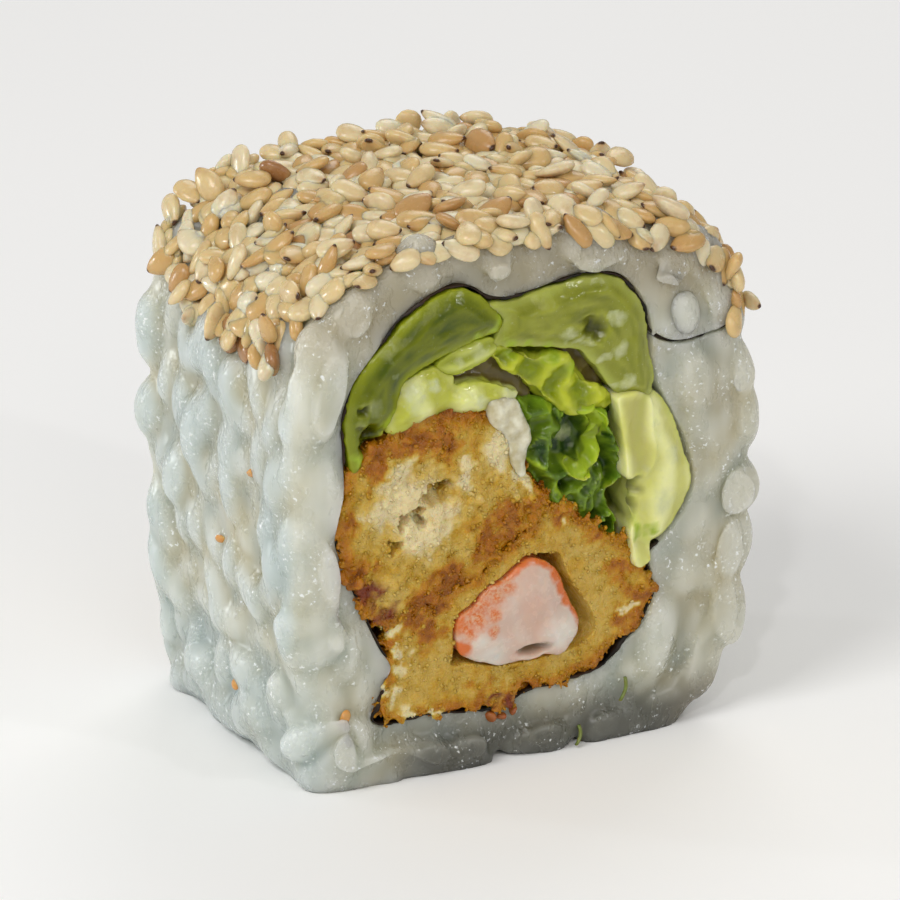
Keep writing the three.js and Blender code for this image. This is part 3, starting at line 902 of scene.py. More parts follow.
# Fried crumbs over both cut faces and along the rim. `rough` gives their size from 0 to 1 at a point (x, z).
def crumbsOver(name, line, recess, rough, count):
    placings = []
    for side in (-1, 1):
        tried = rng.uniform(line.min(0), line.max(0), (count, 2))
        tried = tried[insideOf(line, tried)]
        for (x, z), amount in zip(tried, rough(tried)):
            size = breading["crumbSize"] * rng.uniform(0.3, 0.8) * (0.3 + 0.7 * amount)
            stretch = size * np.array([rng.uniform(0.8, 1.7), rng.uniform(0.7, 1.1), rng.uniform(0.5, 0.8)])
            at = np.array([x, side * (cutFace - recess - size * 0.15), z])
            placings.append((anyTurn(), at, stretch))
        for x, z in line + rng.normal(0, 0.22, line.shape):
            size = breading["crumbSize"] * rng.uniform(0.25, 1.25)
            at = np.array([x, side * (cutFace - recess - rng.uniform(0, 1.5)), z])
            placings.append((anyTurn(), at, size * rng.uniform(0.4, 1.3, 3)))
    crumb = makeCrumb()
    made = scattered(name, crumb, placings)
    bpy.data.objects.remove(crumb)
    return made


def breadMass(name, outline, recess, rough, count):
    line = outlineOf(outline)
    obj = prism(name, shrunk(line, 0.3), -cutFace + recess, cutFace - recess)
    joinInto(obj, [crumbsOver(name + "_crumbs", line, recess, rough, count)])
    remesh(obj, breading["voxel"], 3)
    return obj, line


# Small glossy beads of batter on a finished mass, coloured like the spots that they sit on
def beadsOver(obj, count):
    p = coordsOf(obj)
    normals = normalsOf(obj)
    chosen = rng.choice(np.flatnonzero(np.abs(p[:, 1]) > cutFace - 1.6), count, replace=False)
    crumb = makeCrumb()
    placings = []
    for i in chosen:
        size = breading["beadSize"] * rng.uniform(0.4, 1.3) * rng.uniform(0.7, 1.3, 3)
        placings.append((anyTurn(), p[i] + normals[i] * 0.04, size))
    beads = scattered(obj.name + "_beads", crumb, placings)
    for name in ("crust", "pale", "dark", "relief"):
        values = np.empty(len(p), np.float32)
        obj.data.attributes[name].data.foreach_get("value", values)
        paint(beads, name, np.repeat(values[chosen], len(crumb.data.vertices)))
    paint(beads, "bead", np.ones(len(beads.data.vertices)))
    bpy.data.objects.remove(crumb)
    return beads


def breadFinish(name, soft=0.7):
    f = softFinish(name, soft, (1.0, 0.6, 0.25), 0.001, 1.4)
    mottle = f.noise(0.9, 4, 0.6)
    broad = f.noise(2.6, 3)
    grit = f.noise(0.3, 2, 0.6)
    amount = f.painted("crust") * 0.6 + (mottle - 0.5) * 0.28 + (grit - 0.5) * 0.15 + (broad - 0.5) * 0.3
    amount = amount - f.painted("pale") * 0.4 - f.painted("bead") * 0.06
    # Deeper parts of the faces are painted a little browner: painted shade in the recesses
    amount = (amount + (0.5 - f.painted("relief")) * 0.1 + 0.3).clamped()
    colour = f.ramp(amount, (0.0, (0.78, 0.66, 0.37)), (0.2, (0.63, 0.45, 0.11)), (0.4, (0.54, 0.325, 0.028)),
                    (0.6, (0.48, 0.215, 0.006)), (0.8, (0.40, 0.14, 0.003)), (1.0, (0.22, 0.06, 0.002)))
    colour = f.mix(f.painted("dark"), colour, (0.20, 0.035, 0.008))
    bump = f.bump(mottle, 0.18, 0.5)
    bump = f.bump(grit, 0.22, 1.0, bump)
    wet = f.spread(f.noise(0.7, 2), 0.4, 0.56)
    return f.feed(Base_Color=colour, Roughness=0.34 - wet * 0.17 - f.painted("bead") * 0.06, Normal=bump)


def paintBread(obj, line, recess, patches, paleSpots, darkSpots, rimWidth, rimAmount, seed):
    p = coordsOf(obj)
    xz = p[:, [0, 2]]
    sides = 1 - onFace(p, recess, 1.2)
    rim = rimAmount * (1 - step(0.2, rimWidth, distanceTo(line, xz, True)))
    ragged = raggedPlaces(p, 1.1, 1.5, 3, seed)
    pale = spots(ragged, paleSpots) * (1 - sides)
    crust = np.maximum(np.maximum(rim, spots(ragged, patches)), sides * 0.8)
    paint(obj, "crust", crust - pale * 0.8 + lumps(p, 2.2, 3, seed) * 0.3)
    paint(obj, "pale", pale)
    paint(obj, "dark", spots(ragged, darkSpots))
    # How far out each point of a face stands, which the finish turns into painted shade in the recesses
    paint(obj, "relief", np.where(sides > 0.5, 0.5, (np.abs(p[:, 1]) - cutFace + recess + 0.35) / 0.9))
    return p


def makeUpperCoat():
    recess = 0.5
    patches = breading["upperPatches"]
    paleSpots = breading["upperPale"]
    darkSpots = breading["upperDark"]

    def rough(spot):
        return 0.4 + 0.6 * spots(spot, patches)

    obj, line = breadMass("breading_upper", breading["upper"], recess, rough, 1500)
    p = paintBread(obj, line, recess, patches, paleSpots, darkSpots, 2.0, 0.75, 9.0)
    pits = spots(raggedPlaces(p, 0.9, 1.4, 2, 2), breading["upperPits"]) * onFace(p, recess, 1.6)
    domed = onFace(p, recess, 1.2) * 0.3 * step(0, 3, distanceTo(line, p[:, [0, 2]], True))
    push(obj, domed + 0.4 * lumps(p, 2.4, 3, 3.1) - pits * 1.7)
    return obj


def makeLowerCoat():
    recess = 0.45
    hole = outlineOf(breading["cavity"])
    rimLine = outlineOf(breading["lower"])
    patches = breading["lowerPatches"]
    paleSpots = breading["lowerPale"]
    darkSpots = breading["lowerDark"]

    def rough(spot):
        byRim = 1 - step(0.5, 2.4, distanceTo(rimLine, spot, True))
        return np.maximum(byRim, 0.1)

    obj, line = breadMass("breading_lower", breading["lower"], recess, rough, 1400)
    p = paintBread(obj, line, recess, patches, paleSpots, darkSpots, 1.7, 0.7, 21.0)
    push(obj, 0.25 * lumps(p, 2.2, 3, 13.0))
    cutAway(obj, prism("cavity", hole, -cutFace - 4, cutFace + 4))
    return obj


print("breading")
bread = breadFinish("fried_breading")
beadFinish = breadFinish("batter_beads", 0.0)
for node, mass in (("coat_upper", makeUpperCoat()), ("coat_lower", makeLowerCoat())):
    finishPiece(mass, node, bread)
    finishPiece(beadsOver(mass, breading["beads"]), node, beadFinish)

# Prawn
prawn = {
    "outline": [
        (-6.6, 12.9), (-6.2, 13.5), (-5.1, 14), (-3.9, 15.2), (-2.2, 15.9), (-1, 16.8), (0.1, 17.2),
        (1.3, 16.8), (2.6, 15.6), (3.3, 14), (3.7, 12.9), (4.3, 11.9), (4.4, 10.6), (4, 9.5), (3.4, 8.6),
        (2.6, 8.3), (1.4, 8.6), (0.4, 8.4), (-1.2, 8.5), (-2.8, 8.4), (-4, 9), (-5.4, 9.7), (-6.3, 10.2),
        (-6.6, 11.5),
    ],
    "orangeBand": [
        (-5, 13, 1.3), (-4.2, 14, 1.2), (-3.2, 14.8, 1.2), (-2.2, 15.3, 1.0), (-5.6, 12, 0.9),
        (-3.4, 13.2, 0.9), (-3.6, 11.8, 0.7),
    ],
    "orangeRim": [
        (2.4, 15.6, 0.9), (3, 14.4, 0.9), (3.5, 13.2, 0.8), (-6.4, 12.6, 1.0), (-6.2, 10.6, 0.9),
    ],
    "white": [(-3.6, 9.6, 1.6), (2.8, 10.4, 1.8), (-4.6, 11, 0.8)],
    "lobes": [(-4.6, 11, 1.6), (2.6, 10.6, 1.8), (0.4, 14.4, 2.2)],
    "recess": 0.05,
}


def makePrawn():
    obj, line = filling("prawn_flesh", prawn["outline"], prawn["recess"], 0.22, 4)
    p = coordsOf(obj)
    xz = p[:, [0, 2]]
    away = distanceTo(line, xz, True)
    front = onFace(p, prawn["recess"], 0.8)
    rim = 1 - step(0.1, 0.9, away)
    topSide = step(9.6, 12.5, p[:, 2] + 0.1 * p[:, 0])
    band = spots(xz, prawn["orangeBand"])
    atRim = np.maximum(rim * topSide * 0.8, spots(xz, prawn["orangeRim"]))
    paint(obj, "orange", np.maximum(atRim, np.maximum(band * 0.75, (1 - front) * 0.7)))
    paint(obj, "speckle", np.maximum(band, (1 - front) * 0.5))
    paint(obj, "white", spots(xz, prawn["white"]) * front)
    pit = spots(np.column_stack([xz[:, 0] / 3.2, xz[:, 1]]), [(0.1, 9.4, 0.42)]) * front
    paint(obj, "pit", pit)
    dome = front * (0.5 * step(0, 2.4, away) + 0.3 * spots(xz, prawn["lobes"]) - 1.3 * pit)
    push(obj, dome + 0.15 * lumps(p, 2.2, 2, 4.0) + 0.03 * lumps(p, 0.7, 2, 2.0))
    return obj


def prawnFinish():
    f = softFinish("cooked_prawn", 0.9, (1.0, 0.55, 0.4), 0.0014, 1.45)
    orange = f.painted("orange")
    speckle = f.painted("speckle")
    fibres = f.noise(2.2, 3, 0.5, (1, 1, 0.45))
    flesh = f.mix(f.spread(fibres, 0.35, 0.7), (0.64, 0.44, 0.35), (0.67, 0.54, 0.46))
    flesh = f.mix(f.painted("white"), flesh, (0.72, 0.67, 0.60))
    flesh = f.mix(f.painted("pit"), flesh, (0.26, 0.15, 0.06))
    dots = f.spread(f.noise(0.28, 2, 0.6), 0.42, 0.62)
    skin = f.mix(dots * speckle, (0.64, 0.17, 0.035), (0.70, 0.41, 0.25))
    amount = f.spread(orange + (f.noise(0.6, 3) - 0.5) * 0.7, 0.3, 0.8).clamped()
    colour = f.mix(amount, flesh, skin)
    bump = f.bump(fibres, 0.2, 0.5)
    bump = f.bump(f.noise(0.35, 3), 0.06, 0.5, bump)
    wet = f.spread(f.noise(0.8, 2), 0.4, 0.6)
    return f.feed(Base_Color=colour, Roughness=0.3 - wet * 0.16, Normal=bump)


print("prawn")
finishPiece(makePrawn(), "prawn", prawnFinish())

# Lettuce
lettuce = {
    "gapDepth": 2.2,
    "ribLeft": [
        (-15.7, 27.3), (-16.3, 29.8), (-16.3, 32), (-15.4, 34.7), (-13.3, 37.1), (-10.8, 39.3),
        (-8.5, 40.7), (-6.3, 41.2), (-4.9, 40.6), (-3.6, 39.6), (-2.4, 38), (-2.7, 37), (-4.8, 36.6),
        (-7.7, 35.7), (-10.4, 34.5), (-11.3, 33.6), (-11.7, 31.9), (-13.2, 29.9), (-14.5, 29.2),
        (-14.9, 27.6),
    ],
    "ribRight": [
        (-3.6, 39.4), (-2.4, 38), (-3, 36.6), (-2.9, 35.8), (-0.5, 35.4), (1.7, 34.9), (3.4, 34.5),
        (4.9, 34), (6.2, 32.4), (7.3, 30.9), (8.6, 29.6), (10.8, 29.2), (11.5, 30.6), (11.2, 32.6),
        (10.9, 34.9), (10.4, 37), (9.2, 38.7), (7.9, 39.9), (6.2, 40.3), (3.6, 40.3), (0.8, 39.8),
        (-1.6, 39.5),
    ],
    "pale": [
        (10.4, 29.4), (12.1, 29.2), (13.6, 26.4), (15.1, 22.2), (15, 20.2), (13.8, 18.2), (12.4, 17),
        (11.3, 16.6), (10.2, 17.9), (9.6, 20), (9.6, 21.6), (10, 23.4), (9.8, 26),
    ],
    "flap": [
        (7.6, 29.9), (9.4, 30), (10.9, 29.4), (11, 27.2), (11.3, 24.4), (11, 22.9), (10, 22.4),
        (8.7, 22.7), (8.5, 25.3), (8, 27.8),
    ],
    "stem": [(9.3, 18.2), (10.6, 18.4), (11.2, 16.6), (11, 15), (9.9, 14.7), (9.3, 16)],
    "frill": [
        (-3.3, 35.7), (-1, 35.3), (1, 34.1), (2.3, 34.2), (4, 33), (5.6, 31.4), (7.3, 30.1), (8.3, 29.5),
        (7.4, 28.8), (5.8, 29.1), (4.1, 28.8), (2, 30.2), (0.7, 31.4), (-1, 32.7), (-2.2, 33.7),
        (-3, 34.7),
    ],
    "heart": [
        (-12.6, 30.2), (-12.3, 32.9), (-11.2, 34), (-10, 34.7), (-8.4, 35), (-7.6, 34.5), (-6.6, 33.9),
        (-6.2, 33.1), (-4, 33), (-1.8, 32.2), (-0.7, 31.5), (-1.4, 30.7), (-2.8, 30.4), (-5.5, 30.5),
        (-8.2, 30.6), (-10.6, 30.2),
    ],
    "inner": [
        (-8.2, 35.1), (-6.3, 36.2), (-4.8, 36.6), (-3.2, 36.6), (-2.7, 35.6), (-3.4, 34.8), (-4.6, 34.3),
        (-6.4, 33.9), (-7.7, 34.4),
    ],
    "dark": [
        (-0.7, 30.7), (0.4, 30.6), (2, 29.9), (3.6, 28.9), (5.6, 29), (7.5, 29.2), (8.5, 28),
        (8.7, 25.3), (8.7, 22.4), (7.6, 20.7), (8.6, 18.6), (8.2, 17.1), (6.2, 18.3), (4.2, 20.7),
        (2.1, 21.3), (1.5, 22.6), (1, 23.8), (0.2, 25.2), (-0.2, 27), (-0.5, 29),
    ],
    "wedge": [(3, 34.3), (5, 34), (6.3, 32.2), (7.4, 30.7), (5.8, 30.8), (4, 32.8)],
    "hollow": [
        (-6.6, 33.8), (-5.1, 34.1), (-3.3, 34.9), (-1.8, 33.6), (-0.3, 32.2), (0.9, 30.6), (-1.6, 31.4),
        (-4, 32.8), (-6.4, 33),
    ],
    "curl": [(3.9, 29.4), (5.2, 29.2), (6.1, 28), (6.2, 26), (5.7, 24.5), (4.6, 23.9), (3.8, 24.4)],
}


def leafFinish(name, deep, light, edge, milky):
    f = softFinish(name, 0.85, (0.9, 1.0, 0.3), 0.0013, 1.4)
    broad = f.noise(3.5, 2, 0.5)
    fine = f.noise(0.8, 3, 0.6)
    fold = f.painted("fold")
    # The deep colour in the folds' hollows and the light colour on their ridges, over the leaf's own
    # mottling: painted shade and light that follow the folds
    amount = f.spread(broad * 0.5 + (fine - 0.5) * 0.25 + fold * 0.75, 0.35, 0.95)
    colour = f.mix(amount, deep, light)
    colour = f.mix((f.painted("rim") * 0.9).clamped(), colour, edge)
    specks = f.spread(f.noise(0.38, 2, 0.6), 0.66, 0.76) * milky
    cloud = f.spread(f.noise(0.9, 4, 0.7) * 0.9 + f.painted("milk") * 0.9, 0.75, 1.55)
    colour = f.mix((cloud * milky + specks * 0.3).clamped(), colour, (0.58, 0.61, 0.36))
    colour = f.mix(f.painted("lime"), colour, (0.34, 0.45, 0.025))
    colour = f.mix(f.painted("flap") * 0.6, colour, (0.46, 0.43, 0.12))
    # Painted shade: pits are painted a darker copy of the deep colour
    colour = f.mix(f.painted("pit"), colour, tuple(0.35 * c for c in deep))
    # Painted shade: the sheet at the bottom of a gap beside the leaf
    colour = f.mix(f.painted("hollow"), colour, (0.17, 0.13, 0.035))
    bump = f.bump(broad, 0.4, 0.4)
    bump = f.bump(fine, 0.14, 0.5, bump)
    bump = f.bump(f.noise(0.3, 2) * cloud, 0.1, 0.7, bump)
    wet = f.spread(f.noise(0.9, 2), 0.42, 0.58)
    return f.feed(Base_Color=colour, Roughness=0.26 - wet * 0.14, Normal=bump)


# Long streaks that follow a leaf's outline, from 0 to 1
def streaks(away, p, seed):
    along = np.arctan2(p[:, 2] - 24, p[:, 0] + 2)
    return 0.5 + 0.5 * lumps(np.column_stack([away, along * 4, p[:, 1] * 0.3]), 0.7, 2, seed)


# Parallel folds across a leaf, `size` apart along `way`, from 0 in their hollows to 1 on their ridges
def waves(p, size, way, seed):
    return 0.5 + 0.5 * np.sin(2 * math.pi * (p @ way) / size + 2.2 * lumps(p, size * 1.6, 2, seed))


# Crumpled folds, from 0 to 1 in the same way
def crumples(p, size, seed):
    warp = [lumps(p, size * 1.6, 1, seed + k) for k in (1.3, 4.1, 7.7)]
    bent = p * [1, 0.5, 0.55] + 1.2 * np.column_stack(warp)
    return np.clip(1.15 - 2.4 * np.abs(lumps(bent, size, 1, seed)), 0, 1)


# Shapes and paints a leaf whose ends lie `recess` inside the cut faces
def dressLeaf(
    obj, line, recess, swell, wave, fold, seed,
    foldSize=0, way=None, milk=(), pits=(), lime=(), rimWidth=0.6,
):
    p = coordsOf(obj)
    xz = p[:, [0, 2]]
    away = distanceTo(line, xz, True)
    face = onFace(p, recess, 1.2)
    if way:
        ridge = waves(p, foldSize, way, seed)
    elif foldSize:
        ridge = crumples(p, foldSize, seed)
    else:
        ridge = streaks(away, p, seed)
    ragged = raggedPlaces(p, 0.5, 1.1, 2, seed)
    sunk = spots(ragged, pits) * face
    paint(obj, "rim", (1 - step(0.05, rimWidth, away)) * (0.3 + 0.7 * face))
    paint(obj, "milk", spots(ragged, milk) * face)
    # The pits' mask, for their painted shade
    paint(obj, "pit", sunk)
    paint(obj, "fold", ridge)
    paint(obj, "lime", spots(ragged, lime) * face)
    push(obj, wave * lumps(p, 3, 2, seed + 3) + wave * 0.4 * lumps(p, 1, 2, seed + 7))
    p = coordsOf(obj)
    outward = face * (swell * step(0, 1.6, away) + fold * (ridge - 0.5) * step(0, 0.6, away)) - 0.9 * sunk
    p[:, 1] += np.sign(p[:, 1]) * outward
    setCoords(obj, p)


# `hollow` names the outline of a gap beside the leaf, whose bottom is a sheet painted in the gap's shade.
def makeLeaf(name, outlines, recesses, voxel, melt, hollow=None, **look):
    first = outlineOf(lettuce[outlines[0]])
    obj = prism(name, first, -cutFace + recesses[0], cutFace - recesses[0])
    for other, recess in zip(outlines[1:], recesses[1:]):
        line = outlineOf(lettuce[other])
        joinInto(obj, [prism(name + other, line, -cutFace + recess, cutFace - recess)])
    if hollow:
        bottom = shifted(outlineOf(lettuce[hollow]), 0.3, True)
        depth = cutFace - lettuce["gapDepth"]
        joinInto(obj, [prism(name + hollow, bottom, -depth, depth)])
    remesh(obj, voxel, melt)
    dressLeaf(obj, first, recesses[0], **look)
    if hollow:
        p = coordsOf(obj)
        inside = insideOf(bottom, p[:, [0, 2]])
        # Marks the gap's bottom sheet for its painted shade
        paint(obj, "hollow", inside * step(1.6, 2, cutFace - np.abs(p[:, 1])))
    return obj


# The translucent flap over the pale leaf
def paintFlap(obj):
    xz = coordsOf(obj)[:, [0, 2]]
    line = outlineOf(lettuce["flap"])
    paint(obj, "flap", insideOf(line, xz) * step(0, 0.9, distanceTo(line, xz, True)))


# Each leaf's shape as makeLeaf takes it, and its deep, light and edge colours and milkiness for leafFinish
leaves = {
    "rib_left": {
        "name": "lettuce_rib_left",
        "shape": {"outlines": ["ribLeft"], "recesses": [0.35], "voxel": 0.22, "melt": 4},
        "folds": {"swell": 0.6, "wave": 0.12, "fold": 0.1, "seed": 2, "rimWidth": 1.1},
        "spots": {
            "milk": [
                (-14.2, 32.7, 1.0), (-15, 31.4, 0.6), (-12.3, 35, 0.3), (-12.7, 36.7, 0.5),
                (-12.2, 37.3, 0.4), (-9, 38, 0.25),
            ],
            "pits": [(-15, 32.5, 0.4), (-14.4, 30.4, 1.0), (-14.2, 29.4, 0.6)],
            "lime": [
                (-12, 32, 0.4), (-12.6, 31, 0.5), (-15.4, 28.4, 0.5), (-2.8, 38.2, 0.4),
                (-3.2, 37.3, 0.5), (-4.5, 36.8, 0.4),
            ],
        },
        "colours": [(0.07, 0.10, 0.0015), (0.19, 0.215, 0.003), (0.28, 0.32, 0.012)],
        "milky": 0.3,
    },
    "rib_right": {
        "name": "lettuce_rib_right",
        "shape": {"outlines": ["ribRight"], "recesses": [0.4], "voxel": 0.22, "melt": 4},
        "folds": {"swell": 0.7, "wave": 0.2, "fold": 0.12, "seed": 4, "rimWidth": 1.0},
        "spots": {
            "milk": [
                (3.2, 36, 0.9), (4.4, 35.3, 0.6), (7.9, 36.6, 0.8), (7.4, 37, 0.5), (7.8, 33.9, 0.9),
                (5.2, 34.8, 0.6), (6.6, 33.4, 0.5), (8.8, 31, 0.9), (7.6, 30.8, 0.6),
            ],
            "pits": [(5.7, 36.1, 1.0)],
            "lime": [(-1.8, 35.9, 0.5), (0, 35.5, 0.4), (1.6, 35.1, 0.4)],
        },
        "colours": [(0.20, 0.22, 0.012), (0.34, 0.36, 0.045), (0.40, 0.44, 0.09)],
        "milky": 0.9,
    },
    "leaf_pale": {
        "name": "lettuce_pale",
        "shape": {
            "outlines": ["pale", "flap", "stem"],
            "recesses": [0.5, 0.1, 0.3],
            "voxel": 0.22,
            "melt": 4,
        },
        "folds": {"swell": 0.6, "wave": 0.2, "fold": 0.3, "foldSize": 3.6, "way": (1, 0, 0.15), "seed": 6},
        "spots": {
            "milk": [(10.4, 23, 0.6), (11.2, 27, 0.5), (13, 24, 1), (12, 20, 1.4)],
            "pits": [(9.3, 21.6, 0.9), (9.2, 20, 0.8)],
            "lime": [(10, 17.8, 0.6), (11.4, 17.6, 0.5)],
        },
        "colours": [(0.64, 0.64, 0.20), (0.80, 0.81, 0.40), (0.60, 0.64, 0.16)],
        "milky": 0.7,
    },
    "leaf_frill": {
        "name": "lettuce_frill",
        "shape": {"outlines": ["frill"], "recesses": [0.9], "voxel": 0.18, "melt": 3, "hollow": "wedge"},
        "folds": {
            "swell": 0.3,
            "wave": 0.6,
            "fold": 0.5,
            "foldSize": 2.6,
            "way": (0.9, 0.1, -0.3),
            "seed": 8,
        },
        "spots": {"lime": [(-1, 34.8, 0.5), (2, 33.8, 0.5), (4, 32.6, 0.5)]},
        "colours": [(0.24, 0.30, 0.005), (0.48, 0.52, 0.03), (0.54, 0.58, 0.06)],
        "milky": 0.3,
    },
    "leaf_heart": {
        "name": "lettuce_heart",
        "shape": {"outlines": ["heart"], "recesses": [0.5], "voxel": 0.2, "melt": 3, "hollow": "hollow"},
        "folds": {"swell": 0.6, "wave": 0.3, "fold": 0.3, "foldSize": 3.6, "way": (0.95, 0, 0.3), "seed": 10},
        "spots": {"milk": [(-10.6, 33, 1.4), (-1.6, 31.6, 0.8), (-8.6, 33.6, 0.7), (-4.4, 31.4, 0.8)]},
        "colours": [(0.50, 0.52, 0.07), (0.72, 0.74, 0.32), (0.52, 0.56, 0.08)],
        "milky": 1.0,
    },
    "rib_inner": {
        "name": "lettuce_inner",
        "shape": {"outlines": ["inner"], "recesses": [0.45], "voxel": 0.2, "melt": 3},
        "folds": {
            "swell": 0.45,
            "wave": 0.12,
            "fold": 0.25,
            "foldSize": 1.8,
            "way": (-0.3, 0, 1),
            "seed": 12,
        },
        "spots": {"milk": [(-4.4, 35.6, 0.9), (-6.2, 35.2, 0.6)]},
        "colours": [(0.34, 0.38, 0.04), (0.52, 0.56, 0.14), (0.40, 0.45, 0.04)],
        "milky": 0.7,
    },
}

print("lettuce")
for node, leaf in leaves.items():
    made = makeLeaf(leaf["name"], **leaf["shape"], **leaf["folds"], **leaf["spots"])
    if node == "leaf_pale":
        paintFlap(made)
    finishPiece(made, node, leafFinish(leaf["name"], *leaf["colours"], leaf["milky"]))


def makeDarkLeaf():
    recess = 1.5
    line = outlineOf(lettuce["dark"])
    curlLine = smoothLine(lettuce["curl"], False, 0.2)
    curlOutline = np.vstack([shifted(curlLine, 0.4, False), shifted(curlLine, -0.4, False)[::-1]])
    obj = prism("lettuce_dark", line, -cutFace + recess, cutFace - recess)
    joinInto(obj, [prism("curl", curlOutline, -cutFace + 0.5, cutFace - 0.5)])
    remesh(obj, 0.17, 3)
    near = distanceTo(curlLine, coordsOf(obj)[:, [0, 2]], False)
    size = 2.8
    seed = 15
    milk = [(4.2, 26.4, 0.8), (1.8, 22.2, 0.4), (6.8, 23, 0.4)]
    dressLeaf(obj, line, recess, 0, 0.4, 2.4, seed, foldSize=size, milk=milk)
    p = coordsOf(obj)
    face = onFace(p, recess, 1.2)
    ridge = crumples(p, size, seed)
    second = crumples(p, 1.3, 31)
    p[:, 1] += np.sign(p[:, 1]) * face * (0.6 * (second - 0.5) + 0.25 * lumps(p, 0.8, 2, 12.0))
    p[:, 1] = np.clip(p[:, 1], -cutFace - 0.5, cutFace + 0.5)
    setCoords(obj, p)
    paint(obj, "fold", 0.6 * ridge + 0.4 * second)
    # Lime on the curl is the leaf's own edge; lime on the crumples' highest ridges is painted light
    tips = step(0.75, 1.0, ridge) * step(0.4, 0.9, second) * step(-0.2, 0.4, lumps(p, 3.5, 1, 2.0)) * 0.8
    paint(obj, "lime", np.maximum(1 - step(0.3, 0.7, near), tips) * face)
    return obj


darkFinish = leafFinish("lettuce_dark", (0.016, 0.052, 0.003), (0.20, 0.31, 0.018), (0.16, 0.28, 0.014), 0.9)
finishPiece(makeDarkLeaf(), "leaf_dark", darkFinish)

# Mayonnaise
sauce = {
    "outline": [
        (-3.6, 31.2), (-1.8, 31.3), (-0.6, 30), (-0.1, 27.6), (-0.1, 25.2), (-0.6, 24.4), (-1.3, 25.6),
        (-2.1, 27.8), (-3.4, 29.4),
    ],
    "recess": 0.2,
}


def makeSauce():
    obj = filling("mayonnaise_smear", sauce["outline"], sauce["recess"], 0.2, 5)[0]
    p = coordsOf(obj)
    push(obj, 0.4 * lumps(p, 2.2, 2, 6.0) + onFace(p, sauce["recess"]) * 0.1)
    return obj


def sauceFinish():
    f = softFinish("mayonnaise", 0.9, (1.0, 0.9, 0.6), 0.0012, 1.45, Roughness=0.16)
    # Cream with darker grey-brown patches: the sauce's own tone, and painted shade in its folds
    colour = f.mix(f.spread(f.noise(1.2, 3), 0.4, 0.7), (0.52, 0.47, 0.30), (0.80, 0.78, 0.64))
    return f.feed(Base_Color=colour, Normal=f.bump(f.noise(0.8, 2), 0.2, 0.6))


print("mayonnaise")
finishPiece(makeSauce(), "mayonnaise", sauceFinish())

# Strays: flecks of batter and seed on the rice, and threads that hang from its foot
strays = {
    "orange": [(-20.3, 0.0, 17.6), (-19.7, -3.1, 6.3), (-16.6, -14.3, 6.6), (-20.6, -6.2, 25.5)],
    "threads": [((4.6, -14.6, 1.8), (4.1, -15.1, 0.3)), ((8.9, -14.6, 5.2), (8.2, -15, 3.4))],
    "crumbs": [(-3.2, -14.5, 3.9), (-2.2, -14.6, 3.7), (-1.2, -14.5, 4.1)],
    "grain": (14.1, -14.2, 35.9),
}


# A grain that hangs over the seaweed's free end
def makeHangingGrain():
    grain = makeGrain()
    grain.name = "hanging_grain"
    turned = coordsOf(grain) * [0.56, 0.9, 0.8] @ turnTo(np.array([-0.15, 0, 1]), np.array([0, -1, 0])).T
    setCoords(grain, turned + strays["grain"])
    modify(grain, "SUBSURF", levels=2, render_levels=2)
    # Painted light: the whole grain takes the colour of a lit crest
    paint(grain, "ridge", np.full(len(grain.data.vertices), 0.75))
    return grain


def makeFlecks(name, places, size):
    crumb = makeCrumb()
    placings = []
    for at in places:
        spot = riceMass.closest_point_on_mesh(Vector(at) * mm)[1]
        placings.append((anyTurn(), np.array(spot) / mm, size * rng.uniform(0.6, 1.2, 3)))
    flecks = scattered(name, crumb, placings)
    bpy.data.objects.remove(crumb)
    modify(flecks, "SUBSURF", levels=1, render_levels=1)
    return flecks


def makeThreads():
    threads = []
    for start, end in strays["threads"]:
        deselectAll()
        bpy.ops.mesh.primitive_cylinder_add(vertices=8, radius=0.16 * mm, depth=mm)
        thread = bpy.context.object
        inEditMode(thread, lambda: bpy.ops.mesh.subdivide(number_cuts=4))
        p = coordsOf(thread)
        along = (p[:, 2:] + 0.5) * (np.array(end) - start) + start
        bend = np.sin((p[:, 2] + 0.5) * 3) * 0.3
        setCoords(thread, along + np.column_stack([p[:, 0] + bend, p[:, 1], p[:, 1] * 0]))
        threads.append(thread)
    joinInto(threads[0], threads[1:])
    threads[0].name = "threads"
    return threads[0]


def plainFinish(name, colour, other):
    f = Finish(name, Subsurface_Weight=0.4, Subsurface_Scale=0.0006, Roughness=0.25)
    return f.feed(Base_Color=f.mix(f.noise(0.6), colour, other))


print("strays")
finishPiece(makeHangingGrain(), "rice", riceMass.data.materials[0])
orangeFlecks = makeFlecks("orange_flecks", strays["orange"], 0.65)
finishPiece(orangeFlecks, "rice", plainFinish("orange_fleck", (0.62, 0.26, 0.05), (0.70, 0.42, 0.14)))
redCrumbs = makeFlecks("red_crumbs", strays["crumbs"], 0.75)
redFinish = plainFinish("red_crumb", (0.26, 0.05, 0.01), (0.42, 0.16, 0.03))
finishPiece(redCrumbs, "coat_lower", redFinish)
threadFinish = plainFinish("green_thread", (0.10, 0.16, 0.02), (0.22, 0.26, 0.06))
finishPiece(makeThreads(), "leaf_dark", threadFinish)

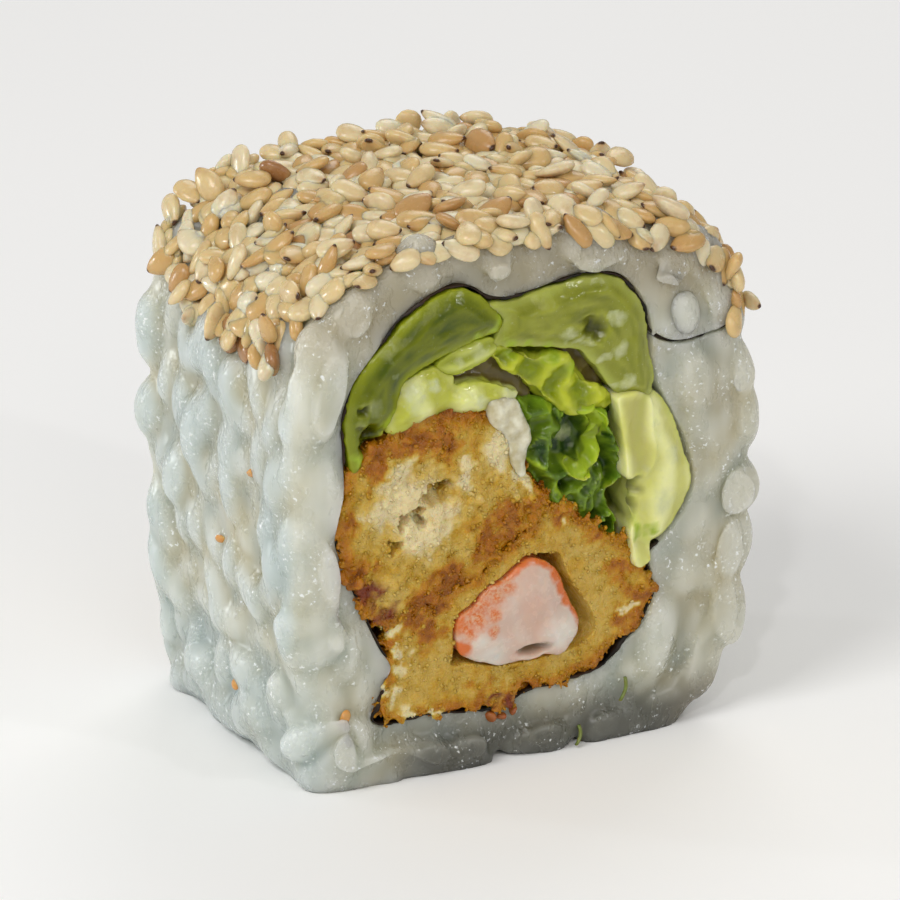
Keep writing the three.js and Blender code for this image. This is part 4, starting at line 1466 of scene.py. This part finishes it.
# Floor, lights and camera
# Each light has a name, a place, what it points at, its width, power and colour. The small ones make glints.
studio = {
    "floor": (0.98, 0.98, 0.98),
    "sky": (1.0, 1.0, 1.0),
    "skyStrength": 0.36,
    "lights": [
        ("key", (-0.35, -0.12, 0.42), (0, 0, 0.02), 0.22, 1.1, (1.0, 0.99, 0.97)),
        ("side", (-0.46, 0.38, 0.08), (0, 0, 0.02), 0.03, 0.6, (0.94, 0.98, 1.0)),
        ("sparkle", (-0.28, -0.42, 0.42), (0, 0, 0.02), 0.025, 0.4, (1.0, 1.0, 1.0)),
        ("glint", (0.24, -0.5, 0.27), (0, 0, 0.02), 0.025, 0.3, (1.0, 1.0, 1.0)),
        ("front", (-0.1, -0.5, 0.35), (0, 0, 0.02), 0.25, 0.42, (1.0, 0.92, 0.78)),
        ("rim", (0.25, 0.3, 0.4), (0, 0, 0.03), 0.3, 0.65, (1.0, 0.98, 0.95)),
    ],
}


def makeFloor():
    deselectAll()
    bpy.ops.mesh.primitive_plane_add(size=4)
    floor = bpy.context.object
    floor.name = "floor"
    f = Finish("floor", Roughness=0.9)
    shade = f.mix(f.noise(40, 1) * 0.02, studio["floor"], (0.9, 0.9, 0.9))
    floor.data.materials.append(f.feed(Base_Color=shade))


def makeLight(name, place, aim, size, power, colour):
    data = bpy.data.lights.new(name, "AREA")
    data.size = size
    data.energy = power
    data.color = colour
    lamp = bpy.data.objects.new(name, data)
    lamp.location = place
    lamp.rotation_euler = (Vector(aim) - Vector(place)).to_track_quat("-Z", "Y").to_euler()
    bpy.context.collection.objects.link(lamp)


view = {
    "azimuth": -27.38,
    "elevation": 20.84,
    "distance": 0.5005,
    "target": (0, 0, 0.021),
    "lens": 243.4,
    "aimRight": 0.00029,
    "aimUp": 0.00065,
}


def makeCamera():
    turn = math.radians(view["azimuth"])
    rise = math.radians(view["elevation"])
    back = Vector((math.sin(turn) * math.cos(rise), -math.cos(turn) * math.cos(rise), math.sin(rise)))
    right = (-back).cross(Vector((0, 0, 1))).normalized()
    up = right.cross(-back)
    data = bpy.data.cameras.new("camera")
    data.lens = view["lens"]
    data.sensor_width = 36
    camera = bpy.data.objects.new("camera", data)
    aim = Vector(view["target"]) + right * view["aimRight"] + up * view["aimUp"]
    camera.location = aim + back * view["distance"]
    camera.rotation_euler = (-back).to_track_quat("-Z", "Y").to_euler()
    bpy.context.collection.objects.link(camera)
    bpy.context.scene.camera = camera


def makeStudio():
    world = bpy.data.worlds.new("studio")
    world.use_nodes = True
    background = world.node_tree.nodes["Background"]
    background.inputs["Color"].default_value = (*studio["sky"], 1)
    background.inputs["Strength"].default_value = studio["skyStrength"]
    bpy.context.scene.world = world
    for name, place, aim, size, power, colour in studio["lights"]:
        makeLight(name, place, aim, size, power, colour)


print("studio")
makeFloor()
makeStudio()
makeCamera()
bpy.context.scene.view_settings.view_transform = "Standard"
